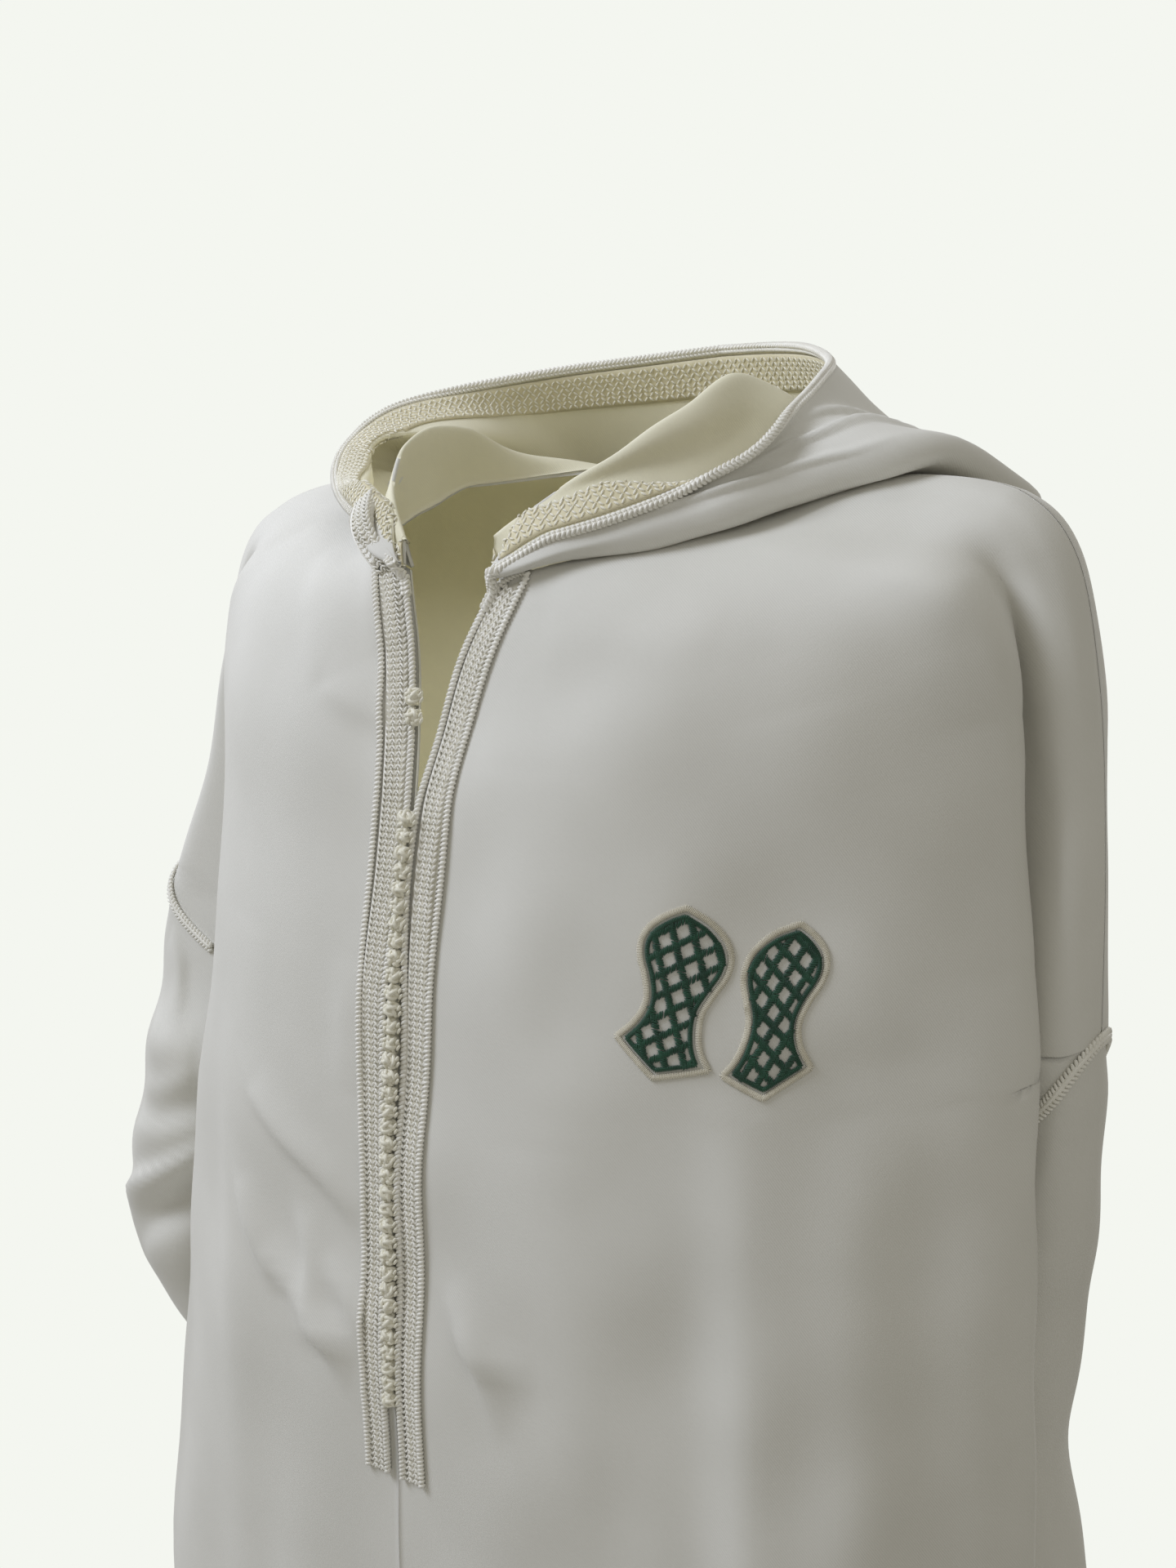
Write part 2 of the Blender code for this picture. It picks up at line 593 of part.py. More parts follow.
def grid_normals(points, closed=False):
    """Normals of a grid of points, from its neighbours."""
    down = np.gradient(points, axis=0)
    if closed:
        along = (np.roll(points, -1, 1) - np.roll(points, 1, 1)) / 2
    else:
        along = np.gradient(points, axis=1)
    return unit(np.cross(along, down))


def hood_values(side, around):
    """The hood's table read at a place around the neck."""
    stops = -HOOD["around"]
    place = -np.asarray(around, float)
    prefix = "left_" if side > 0 else "right_"
    names = {"reach": prefix + "reach", "turn": "turn", "loft": "loft", "bag": "bag"}
    value = {name: through(stops, HOOD[column], place) for name, column in names.items()}
    edge = np.stack([through(stops, HOOD[prefix + axis], place) for axis in "xyz"], -1)
    return value, edge


def hood_points(side, around, part):
    """Middle layer of the hood's cloth: part 0 is the neckline seam, 1 the edge round the face."""
    around, part = np.broadcast_arrays(np.asarray(around, float), np.asarray(part, float))
    value, edge = hood_values(side, around)
    reach, turn, loft, bag = (value[name] for name in ("reach", "turn", "loft", "bag"))

    def above(share, height):
        spot, out = body(side, around + (turn - around) * share, reach * share)
        return spot + out * np.asarray(height)[..., None]

    clear = HOOD_CLEAR * (1 + bag)
    seam = above(0.0, WALL / 2 + 3 * SEAM)
    start = above(0.14, clear * 0.8)
    under = above(0.5, clear)
    low = above(0.92, clear)
    roll = above(1.0, clear + loft * 0.45)
    top = above(0.92, clear + loft)
    over = above(0.45, clear + loft + 0.012)
    middle = (top + edge) / 2 + body(side, turn, reach)[1] * 0.006
    over = over * bag[..., None] + middle * (1 - bag[..., None])
    stops = np.stack((seam, start, under, low, roll, top, over, edge))
    return hermite(HOOD_STOPS, stops, slopes(HOOD_STOPS, stops), part)


def hood_columns():
    """Where the hood's columns lie around the neck: at every second column of the panels."""
    places = panel_places(1)[0][0, ::2]
    return np.concatenate((places, 2 - places[-2::-1]))


def edge_strip(side, half):
    """Part numbers of the hood's rows, where the last strip before the edge has an even width."""
    parts = HOOD_PARTS[:, None].repeat(len(half), 1)
    ends = hood_points(side, half[None, :], parts[-2:])
    length = np.linalg.norm(ends[1] - ends[0], axis=-1)
    parts[-2] = 1 - (1 - parts[-2]) * np.minimum(HOOD_STRIP / length, 1)
    return parts


def hood_grid():
    """Points of the hood all the way round, from the left front corner to the right one."""
    half = hood_columns()
    left = hood_points(1, half[None, :], edge_strip(1, half))
    right = hood_points(-1, half[None, ::-1], edge_strip(-1, half[::-1]))
    middle = (left[:, -1:] + right[:, :1]) / 2
    return np.concatenate((left[:, :-1], middle, right[:, 1:]), 1)


HOOD_BAND_PARTS = np.array((0.12, 0.90))
HOOD_STRIP = 0.022
HOOD_BAND_GAP = 0.0009
HOOD_INWARD = -1
HOOD_CORD_GAP = 0.0009
HOOD_PARTS = np.array((0, 0.05, 0.11, 0.18, 0.26, 0.34, 0.42, 0.50, 0.58, 0.68, 0.79, 0.90, 1.0))


def hood():
    points = hood_grid()
    out = grid_normals(points)
    return wall("hood", points + out * WALL / 2, points - out * WALL / 2)


def tube(name, path, radius, sides=6, finish=SILVER_THREAD):
    """A round cord along a path, with flat ends."""
    along = unit(np.gradient(path, axis=0))
    first = unit(np.cross(along, np.array((0.0, 0.0, 1.0)) + 1e-3))
    for index in range(1, len(first)):
        carried = first[index - 1] - along[index] * (first[index - 1] @ along[index])
        first[index] = unit(carried)
    second = np.cross(along, first)
    angle = np.arange(sides) * 2 * math.pi / sides
    ring = (np.cos(angle)[None, :, None] * first[:, None] + np.sin(angle)[None, :, None] * second[:, None])
    points = (path[:, None] + ring * radius).reshape(-1, 3)
    count = len(path)
    faces = []
    for i in range(count - 1):
        for j in range(sides):
            k = (j + 1) % sides
            faces.append((i * sides + j, i * sides + k, (i + 1) * sides + k, (i + 1) * sides + j))
    faces.append(tuple(range(sides))[::-1])
    faces.append(tuple(range((count - 1) * sides, count * sides)))
    return add_object(name, points, faces, finish)


def beside_edge(side, row, across, lift):
    """Points on a front panel at a distance from its front edge, moved out by lift."""
    row = np.asarray(row, float)
    step = 0.03
    pace = np.linalg.norm(body(side, step, row)[0] - body(side, 0.0, row)[0], axis=-1) / step
    points, out = body(side, across / pace, row)
    return points + out * np.asarray(lift)[..., None]


BAND_ROWS = np.concatenate((np.linspace(0.50, 3, 8), np.linspace(3, BAND_END_ROW, 15)[1:]))


def front_band(name, side):
    rows = BAND_ROWS[:, None]
    taper = 1 - 0.75 * ease((BAND_ROWS - (BAND_END_ROW - 0.25)) / 0.25)[:, None]
    across = BAND_FROM + (BAND_TO - BAND_FROM) * np.linspace(0, 1, 3)[None, :] * taper
    low = beside_edge(side, rows + 0 * across, across, np.full(across.shape, SEAM))
    high = beside_edge(side, rows + 0 * across, across, np.full(across.shape, SEAM + BAND_THICK))
    return wall(name, high, low, finish=SILVER_THREAD)


def front_cord(name, side, distance):
    path = beside_edge(side, BAND_ROWS, np.full(BAND_ROWS.shape, distance),
                       np.full(BAND_ROWS.shape, CORD_RADIUS + SEAM))
    return tube(name, path, CORD_RADIUS)


def row_at_height(height):
    """The row whose front centre lies at a height."""
    rows = np.linspace(0, 12, 1201)
    return float(np.interp(-height, -body_value("front_z", rows), rows))


def knot(name, centre):
    """One ball knot."""
    rings, around = 5, 8
    points = [centre + np.array((0.0, 0.0, KNOT_RADIUS))]
    for ring in range(1, rings):
        polar = math.pi * ring / rings
        for turn in range(around):
            angle = 2 * math.pi * turn / around
            way = (math.sin(polar) * math.cos(angle), math.sin(polar) * math.sin(angle), math.cos(polar))
            points.append(centre + KNOT_RADIUS * np.array(way))
    points.append(centre - np.array((0.0, 0.0, KNOT_RADIUS)))
    last = len(points) - 1
    faces = [(0, 1 + turn, 1 + (turn + 1) % around) for turn in range(around)]
    for ring in range(rings - 2):
        base = 1 + ring * around
        for turn in range(around):
            after = (turn + 1) % around
            faces.append((base + turn, base + around + turn, base + around + after, base + after))
    base = 1 + (rings - 2) * around
    faces += [(last, base + (turn + 1) % around, base + turn) for turn in range(around)]
    return add_object(name, points, faces, SILVER_THREAD)


def throat_knot_place(height):
    """A knot above the row lies against the inner cord of the right front."""
    row = np.array(row_at_height(height))
    cord = beside_edge(-1, row, INNER_CORD_AT, CORD_RADIUS + SEAM)
    return cord + np.array((CORD_RADIUS + KNOT_RADIUS + SEAM, -KNOT_RADIUS / 3, 0.0))


def row_knot_place(height):
    """A knot of the row lies on the line where both fronts meet."""
    edge = body(1, 0.0, row_at_height(height))[0]
    return np.array((0.0, edge[1] - KNOT_RADIUS - SEAM, height))


def knots():
    places = [throat_knot_place(height) for height in THROAT_KNOTS_Z]
    places += [row_knot_place(KNOT_TOP_Z - index * KNOT_PITCH) for index in range(KNOT_ROW)]
    for index, place in enumerate(places):
        knot(f"knot_{index + 1:02d}", place)


def front_place(x, z):
    """Around and row numbers of the left front's points at given x and z, by stepping closer."""
    around, row = np.full(x.shape, 0.35), np.full(x.shape, 5.0)
    step = 0.01
    for _ in range(8):
        here = body(1, around, row)[0]
        by_around = (body(1, around + step, row)[0] - here) / step
        by_row = (body(1, around, row + step)[0] - here) / step
        miss_x, miss_z = x - here[..., 0], z - here[..., 2]
        ground = by_around[..., 0] * by_row[..., 2] - by_row[..., 0] * by_around[..., 2]
        around = around + (miss_x * by_row[..., 2] - by_row[..., 0] * miss_z) / ground
        row = row + (by_around[..., 0] * miss_z - miss_x * by_around[..., 2]) / ground
    return around, row


def patch(name, heel_x, heel_z, tilt, share, hand):
    """A thin sole shape that lies on the left front."""
    along = SOLE["along"][:, None]
    part = np.linspace(0, 1, 4)
    across = hand * share * (part * SOLE["right"][:, None] - (1 - part) * SOLE["left"][:, None])
    up = along * SOLE_LENGTH
    lean = math.radians(tilt)
    x = heel_x + across * math.cos(lean) + up * math.sin(lean)
    z = heel_z - across * math.sin(lean) + up * math.cos(lean)
    around, row = front_place(x, z)
    points, out = body(1, around, row)
    low = points + out * PATCH_LIFT
    return wall(name, low + out * PATCH_THICK, low, finish=PATCH_THREAD)


def armhole_braid(name, side):
    """A cord over the armhole seam, from the underarm's back round to its front."""
    turn = np.arange(-BRAID_STEPS, BRAID_STEPS + 1) / (2 * ARMHOLE_STEPS)
    points, out = armhole_loop(side, turn)
    return tube(name, points + out * (BRAID_RADIUS + 2 * SEAM), BRAID_RADIUS)


def hood_band():
    """The woven band along the hood's edge, on the hood's inside, which faces the neck."""
    grid = hood_grid()
    inward = grid_normals(grid) * HOOD_INWARD
    share = HOOD_BAND_PARTS[:, None, None]

    def layer(lift):
        lifted = grid + inward * lift
        return lifted[-2] + (lifted[-1] - lifted[-2]) * share

    low = layer(WALL / 2 + HOOD_BAND_GAP)
    return wall("band_hood", low, layer(WALL / 2 + HOOD_BAND_GAP + BAND_THICK), finish=SILVER_THREAD)


def hood_edge_cord():
    """The plaited cord on the hood's edge, held off square to the edge."""
    strip = hood_grid()[-2:]
    along = unit(np.gradient(strip[1], axis=0))
    away = strip[1] - strip[0]
    away = unit(away - along * np.sum(away * along, axis=-1)[:, None])
    return tube("cord_hood", strip[1] + away * (HOOD_CORD_RADIUS + HOOD_CORD_GAP), HOOD_CORD_RADIUS)


def clear_scene():
    for item in list(bpy.data.objects):
        bpy.data.objects.remove(item)


def main():
    clear_scene()
    front_panel("front_left", 1)
    front_panel("front_right", -1)
    back_panel()
    sleeve("sleeve_left", 1)
    sleeve("sleeve_right", -1)
    hood()
    for name, side in (("left", 1), ("right", -1)):
        front_band(f"band_{name}", side)
        front_cord(f"cord_inner_{name}", side, INNER_CORD_AT)
        front_cord(f"cord_outer_{name}", side, OUTER_CORD_AT)
        armhole_braid(f"braid_{name}", side)
    hood_band()
    hood_edge_cord()
    knots()
    for name, values in PATCHES.items():
        patch(name, *values)


main()
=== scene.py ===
"""Looks of the djellaba robe: fine cloth, braid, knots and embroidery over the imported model.

Metres, +Z up, the front faces -Y and the robe's own left is +X.
"""
import math

import bpy
import numpy as np
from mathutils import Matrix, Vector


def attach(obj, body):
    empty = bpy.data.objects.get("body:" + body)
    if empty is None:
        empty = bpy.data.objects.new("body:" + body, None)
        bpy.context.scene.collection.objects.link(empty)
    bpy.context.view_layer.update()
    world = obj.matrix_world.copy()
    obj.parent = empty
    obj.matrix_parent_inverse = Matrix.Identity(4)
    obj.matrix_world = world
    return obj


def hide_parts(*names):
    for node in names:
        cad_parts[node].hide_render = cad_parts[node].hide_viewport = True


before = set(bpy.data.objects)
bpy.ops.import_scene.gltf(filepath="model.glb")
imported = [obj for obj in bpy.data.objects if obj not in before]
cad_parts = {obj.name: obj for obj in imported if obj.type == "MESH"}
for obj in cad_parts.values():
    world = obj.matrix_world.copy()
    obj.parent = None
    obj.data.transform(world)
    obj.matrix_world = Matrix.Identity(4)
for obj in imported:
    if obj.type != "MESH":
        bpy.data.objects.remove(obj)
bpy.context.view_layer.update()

# Driving sizes
WALL = 0.0016
SEAM = 0.0003
BAND_FROM = 0.0079
BAND_TO = 0.0181
INNER_CORD_AT = 0.0057
OUTER_CORD_AT = 0.0203
CORD_RADIUS = 0.0019
BRAID_RADIUS = 0.0019
KNOT_RADIUS = 0.0034
KNOT_PITCH = 0.0071
KNOT_ROW = 36
KNOT_TOP_Z = -0.1190
THROAT_KNOTS_Z = (-0.0738, -0.0818)
BAND_END_ROW = 8.38
SHOULDER_TILT = 0.014

# Where the stops of one section lie, from the front or back centre to the shoulder line
STOPS = np.array((0.0, 0.35, 0.65, 0.78, 0.90, 1.0))
CHEST_OUT = 0.53
CHEST_FLAT = 0.14
GROOVE = 3
SIDE_STOP = 0.78
UNDERARM_ROW = 7.0
UNDERARM_ROUND = 0.018

# One row for each section, from the neckline down to the hem.
# Each section runs from the centre over a lip (the edge of the chest or back) into a groove.
BODY_COLUMNS = ("front_z", "front_x", "front_y", "lip_x", "lip_y", "groove_x", "groove_y",
                "back_z", "back_y", "back_lip_x", "back_lip_y", "back_groove_x", "back_groove_y")
BODY_ROWS = (
    (-0.022, 0.0240, -0.088, 0.066, -0.040, 0.072, -0.018, 0.014, 0.078, 0.060, 0.056, 0.068, 0.042),
    (-0.055, 0.0120, -0.098, 0.122, -0.050, 0.136, -0.020, -0.018, 0.102, 0.118, 0.074, 0.134, 0.050),
    (-0.085, 0.0050, -0.106, 0.172, -0.048, 0.184, -0.018, -0.058, 0.117, 0.165, 0.085, 0.180, 0.058),
    (-0.116, 0.0002, -0.115, 0.202, -0.034, 0.204, -0.002, -0.100, 0.126, 0.188, 0.086, 0.198, 0.056),
    (-0.155, 0.0002, -0.121, 0.211, -0.024, 0.207, 0.003, -0.145, 0.130, 0.196, 0.083, 0.204, 0.050),
    (-0.195, 0.0002, -0.126, 0.217, -0.022, 0.207, 0.006, -0.190, 0.130, 0.198, 0.080, 0.202, 0.046),
    (-0.235, 0.0002, -0.129, 0.223, -0.022, 0.204, 0.006, -0.235, 0.127, 0.196, 0.078, 0.200, 0.040),
    (-0.275, 0.0002, -0.131, 0.228, -0.022, 0.184, 0.012, -0.275, 0.122, 0.186, 0.076, 0.184, 0.012),
    (-0.360, 0.0002, -0.132, 0.235, -0.022, 0.154, 0.008, -0.360, 0.112, 0.170, 0.078, 0.154, 0.008),
    (-0.500, 0.0002, -0.132, 0.243, -0.026, 0.158, 0.010, -0.500, 0.106, 0.174, 0.077, 0.158, 0.010),
    (-0.750, 0.0002, -0.140, 0.258, -0.046, 0.222, 0.012, -0.750, 0.125, 0.224, 0.080, 0.222, 0.012),
    (-1.050, 0.0002, -0.156, 0.284, -0.060, 0.284, 0.012, -1.050, 0.148, 0.270, 0.092, 0.284, 0.012),
    (-1.400, 0.0002, -0.174, 0.308, -0.074, 0.324, 0.012, -1.400, 0.168, 0.302, 0.100, 0.324, 0.012),
)

# The same sections past the groove, over the upper arm, down to the armhole.
ARM_COLUMNS = ("arm_x", "arm_y", "outer_x", "outer_y", "outer_z", "back_arm_x", "back_arm_y")
ARM_ROWS = (
    (0.076, -0.003, 0.078, 0.012, 0.006, 0.075, 0.028),
    (0.143, -0.002, 0.146, 0.014, 0.011, 0.143, 0.033),
    (0.192, -0.002, 0.196, 0.015, 0.003, 0.191, 0.038),
    (0.216, -0.001, 0.224, 0.016, -0.020, 0.214, 0.041),
    (0.229, -0.002, 0.237, 0.016, -0.070, 0.223, 0.044),
    (0.234, -0.003, 0.243, 0.016, -0.135, 0.227, 0.046),
    (0.236, -0.003, 0.245, 0.016, -0.205, 0.229, 0.046),
    (0.238, -0.003, 0.247, 0.016, -0.275, 0.231, 0.046),
)

# How much further out the chest's lip is on the left side than on the right, for each row
LIP_SHIFT = (0.0, 0.004, 0.008, 0.0095, 0.0095, 0.008, 0.007, 0.006, 0.004, 0.002, 0.0, 0.0, 0.0)

# How far the right arm is held out from the body, for each row down to the armhole
ARM_OUT = (0.0, 0.0, 0.0, 0.0, 0.001, 0.008, 0.032, 0.052)

# Where each armhole starts on the shoulder line, as a row number
ARMHOLE_ROW = {1: 6.00, -1: 5.85}

# Folds pressed into the body: side (+1 left), around (0 front centre, 2 back centre),
# top and bottom row, width in around, depth (minus is a trough), drift of around per row
FOLD_COLUMNS = ("side", "around", "top", "bottom", "width", "depth", "drift")
FOLD_ROWS = (
    (1, 0.30, 6.5, 12.8, 0.070, -0.010, -0.004),
    (1, 0.50, 7.0, 12.8, 0.060, 0.012, -0.006),
    (1, 0.16, 8.8, 12.8, 0.050, 0.010, 0.002),
    (-1, 0.24, 7.4, 12.8, 0.060, -0.010, 0.000),
    (-1, 0.42, 7.6, 12.8, 0.060, 0.011, -0.004),
    (-1, 0.12, 9.0, 12.8, 0.050, 0.009, 0.002),
    (1, 1.55, 5.0, 12.8, 0.060, -0.009, 0.006),
    (1, 1.75, 7.0, 12.8, 0.060, 0.012, 0.002),
    (1, 1.36, 8.0, 12.8, 0.050, 0.011, 0.004),
    (-1, 1.58, 5.0, 12.8, 0.060, -0.009, 0.006),
    (-1, 1.79, 7.0, 12.8, 0.060, 0.012, 0.002),
    (-1, 1.38, 8.0, 12.8, 0.050, 0.011, 0.004),
)

# The wearer's bent arm presses the right side in: row, rows each way, how far
HIP_PRESS_ROW = 8.95
HIP_PRESS_REACH = 0.95
HIP_PRESS = 0.038

# Sleeves below the armhole, one row for each ring: the ring's centre, its half width
# across the body and front to back, and how much it leans inward (degrees)
SLEEVE_COLUMNS = ("x", "y", "z", "half_across", "half_deep", "lean")
SLEEVE_LEFT_ROWS = (
    (0.218, 0.022, -0.235, 0.026, 0.028, 0.0),
    (0.217, 0.026, -0.275, 0.025, 0.028, 0.0),
    (0.209, 0.032, -0.325, 0.025, 0.029, 0.0),
    (0.202, 0.037, -0.390, 0.026, 0.033, 0.0),
    (0.209, 0.040, -0.470, 0.029, 0.038, 0.0),
    (0.227, 0.041, -0.540, 0.031, 0.042, 0.0),
    (0.247, 0.042, -0.605, 0.033, 0.048, 0.0),
)
SLEEVE_RIGHT_ROWS = (
    (-0.241, 0.012, -0.235, 0.032, 0.034, 10.0),
    (-0.250, 0.012, -0.280, 0.034, 0.038, 12.0),
    (-0.260, 0.012, -0.330, 0.036, 0.042, 10.0),
    (-0.267, 0.014, -0.382, 0.038, 0.046, -4.0),
    (-0.261, 0.022, -0.424, 0.037, 0.047, -32.0),
    (-0.241, 0.040, -0.466, 0.032, 0.046, -40.0),
    (-0.222, 0.060, -0.508, 0.028, 0.048, -32.0),
    (-0.212, 0.078, -0.552, 0.026, 0.052, -20.0),
)

# The hood's edge from the centre back (around 2) to the front corner (around 0), on the
# near (left) and the far (right) side
HOOD_COLUMNS = ("around", "left_x", "left_y", "left_z", "right_x", "right_y", "right_z")
HOOD_ROWS = (
    (2.00, -0.012, 0.122, 0.062, -0.012, 0.122, 0.062),
    (1.80, 0.022, 0.114, 0.064, -0.050, 0.112, 0.057),
    (1.60, 0.056, 0.092, 0.064, -0.092, 0.096, 0.051),
    (1.38, 0.086, 0.062, 0.060, -0.128, 0.070, 0.043),
    (1.15, 0.104, 0.026, 0.054, -0.146, 0.036, 0.034),
    (0.92, 0.111, -0.008, 0.042, -0.142, 0.002, 0.020),
    (0.66, 0.104, -0.038, 0.024, -0.116, -0.034, 0.008),
    (0.34, 0.074, -0.074, 0.006, -0.076, -0.069, 0.001),
    (0.00, 0.031, -0.096, -0.009, -0.029, -0.093, -0.011),
)
ARMHOLE_STEPS = 8
BRAID_STEPS = 5

# The row of the hem, and the step in around that measures how wide a front is there
HEM_ROW = 12
EDGE_STEP = 0.03

SOLE_LENGTH = 0.0705

# Each patch: its heel point's x and z, its tilt in degrees, its width in x as a share of the
# sole's own, and its hand (-1 is the mirror image)
PATCHES = {"patch_inner": (0.1215, -0.2072, 6, 0.88, 1), "patch_outer": (0.1552, -0.2125, 8, 0.68, -1)}


def columns(names, rows):
    """The rows of a table as one array for each named column."""
    table = np.array(rows, float)
    return {name: table[:, index] for index, name in enumerate(names)}


BODY = columns(BODY_COLUMNS, BODY_ROWS)
ARM = columns(ARM_COLUMNS, ARM_ROWS)
FOLDS = columns(FOLD_COLUMNS, FOLD_ROWS)
HOOD = columns(HOOD_COLUMNS, HOOD_ROWS)


def ease(value):
    """0 to 1 with a soft start and end."""
    value = np.clip(value, 0.0, 1.0)
    return value * value * (3.0 - 2.0 * value)


def unit(vectors):
    return vectors / np.maximum(np.linalg.norm(vectors, axis=-1, keepdims=True), 1e-12)


def slopes(stops, values):
    """Slope at each stop of the smooth curve through the values (stops on the first axis)."""
    stops = stops.reshape((-1,) + (1,) * (values.ndim - 1))
    slope = np.empty_like(values)
    slope[1:-1] = (values[2:] - values[:-2]) / (stops[2:] - stops[:-2])
    slope[0] = (values[1] - values[0]) / (stops[1] - stops[0])
    slope[-1] = (values[-1] - values[-2]) / (stops[-1] - stops[-2])
    return slope


def hermite(stops, values, slope, place):
    """Values at the places, where values and slope hold the curve's stops on their first axis."""
    index = np.clip(np.searchsorted(stops, place, side="right") - 1, 0, len(stops) - 2)
    span = stops[index + 1] - stops[index]
    part = (place - stops[index]) / span
    if values.ndim > 1:
        extra = values.ndim - 1 - place.ndim if values.ndim > place.ndim + 1 else values.ndim - 1
        part = part.reshape(part.shape + (1,) * extra)
        span = span.reshape(span.shape + (1,) * extra)
    start, end = pick(values, index), pick(values, index + 1)
    start_slope, end_slope = pick(slope, index) * span, pick(slope, index + 1) * span
    cube, square = part ** 3, part ** 2
    return ((2 * cube - 3 * square + 1) * start + (cube - 2 * square + part) * start_slope
            + (3 * square - 2 * cube) * end + (cube - square) * end_slope)


def pick(values, index):
    """values[index] along the first axis, point by point where the rest matches the index."""
    if values.ndim == index.ndim + 2 and values.shape[1:-1] == index.shape:
        return np.take_along_axis(values, index[None, ..., None], axis=0)[0]
    return values[index]


def through(stops, values, place):
    """A smooth curve through one column of a table."""
    return hermite(stops, values, slopes(stops, values), np.asarray(place, float))


BODY_STOPS = np.arange(len(BODY_ROWS), dtype=float)
ARM_STOPS = np.arange(len(ARM_ROWS), dtype=float)


def body_value(name, row):
    return through(BODY_STOPS, BODY[name], row)


def arm_value(name, row):
    return through(ARM_STOPS, ARM[name], np.minimum(row, ARM_STOPS[-1]))


def hip_press(side, row):
    if side > 0:
        return np.zeros_like(row)
    return HIP_PRESS * np.cos(np.clip((row - HIP_PRESS_ROW) / HIP_PRESS_REACH, -1, 1) * math.pi / 2) ** 2


def section_stops(side, face, row):
    """The six points that one section passes through, on the face 'front' or 'back'."""
    row = np.asarray(row, float)
    back = face == "back"
    prefix = "back_" if back else ""
    centre_x = np.zeros_like(row) if back else np.maximum(body_value("front_x", row), SEAM * 0.6)
    centre_y = body_value("back_y" if back else "front_y", row)
    centre_z = body_value("back_z" if back else "front_z", row)
    press = hip_press(side, row)
    lip_x = body_value(prefix + "lip_x", row)
    if back:
        lip_x = lip_x - press
    else:
        lip_x = lip_x + side * through(BODY_STOPS, np.array(LIP_SHIFT), row)
    arm_out = through(ARM_STOPS, np.array(ARM_OUT), np.minimum(row, ARM_STOPS[-1])) * (side < 0)
    lip_y = body_value(prefix + "lip_y", row)
    groove_x = body_value(prefix + "groove_x", row) - press
    groove_y = body_value(prefix + "groove_y", row)
    seam_x = (body_value("groove_x", row) + body_value("back_groove_x", row)) / 2 - press
    seam_y = (body_value("groove_y", row) + body_value("back_groove_y", row)) / 2
    below = row >= UNDERARM_ROW
    above = np.clip(row - UNDERARM_ROW + 1, 0, 1)
    parting = UNDERARM_ROUND * above * np.sqrt(1 - above) * (1 if back else -1)
    groove_x = np.where(below, seam_x, groove_x)
    groove_y = np.where(below, seam_y, groove_y + parting)
    chest_x = centre_x + CHEST_OUT * (lip_x - centre_x)
    chest_y = centre_y + CHEST_FLAT * (lip_y - centre_y)
    arm_x = arm_value(prefix + "arm_x", row) + arm_out
    arm_y = arm_value(prefix + "arm_y", row)
    outer_x = arm_value("outer_x", row) + arm_out
    outer_y = arm_value("outer_y", row)
    rise = np.where(row < UNDERARM_ROW, arm_value("outer_z", row) - centre_z, 0.0)
    across = (centre_x, chest_x, lip_x, groove_x, arm_x, outer_x)
    deep = (centre_y, chest_y, lip_y, groove_y, arm_y, outer_y)
    points = [np.stack((side * x, y, centre_z + rise * stop), -1)
              for x, y, stop in zip(across, deep, STOPS)]
    return np.stack(points)


def half_section(side, face, part, row):
    """Points of the plain body, where part is 0 at the centre and 1 at the shoulder line."""
    points = section_stops(side, face, row)
    other = section_stops(side, "front" if face == "back" else "back", row)
    slope = slopes(STOPS, points)
    slope[0] = slope[0] * np.array((1.0, 0.0, 1.0))
    slope[5] = (other[4] - points[4]) / (2 * (STOPS[5] - STOPS[4]))
    arm_part = hermite(STOPS, points, slope, part)
    past_side = (other[2] - points[2]) / (2 * (STOPS[GROOVE] - STOPS[2]))
    share = ease(row - UNDERARM_ROW + 1)[..., None]
    slope[GROOVE] = slope[GROOVE] * (1 - share) + past_side * share
    chest_part = hermite(STOPS, points, slope, part)
    side_seam = (row >= UNDERARM_ROW) | (part <= STOPS[GROOVE])
    return np.where(side_seam[..., None], chest_part, arm_part)


def plain_body(side, around, row):
    """Points of the body without folds: around is 0 at the front centre and 2 at the back centre."""
    around, row = np.broadcast_arrays(np.asarray(around, float), np.asarray(row, float))
    front = half_section(side, "front", np.clip(around, 0, 1), row)
    back = half_section(side, "back", np.clip(2 - around, 0, 1), row)
    points = np.where((around <= 1)[..., None], front, back)
    tilt = side * SHOULDER_TILT * np.minimum(1, np.abs(points[..., 0]) / 0.2) ** 2
    points[..., 2] += tilt * (1 - ease((row - 4) / 4))
    return points


def normals_of(surface, across, along, step=0.002):
    """Unit outward normals of a surface function, from its two tangents."""
    one = surface(across + step, along) - surface(across - step, along)
    two = surface(across, along + step * 8) - surface(across, along - step * 8)
    return unit(np.cross(one, two))


def fold_height(side, around, row):
    """How far the folds stand out of the plain body."""
    height = np.zeros(np.broadcast(around, row).shape)
    for index in range(len(FOLD_ROWS)):
        if FOLDS["side"][index] != side:
            continue
        top, bottom = FOLDS["top"][index], FOLDS["bottom"][index]
        middle = FOLDS["around"][index] + FOLDS["drift"][index] * (row - top)
        grow = ease((row - top) / 3.0) * ease((bottom - row) / 0.8)
        shape = np.exp(-((around - middle) / FOLDS["width"][index]) ** 2)
        height += FOLDS["depth"][index] * grow * shape
    return height


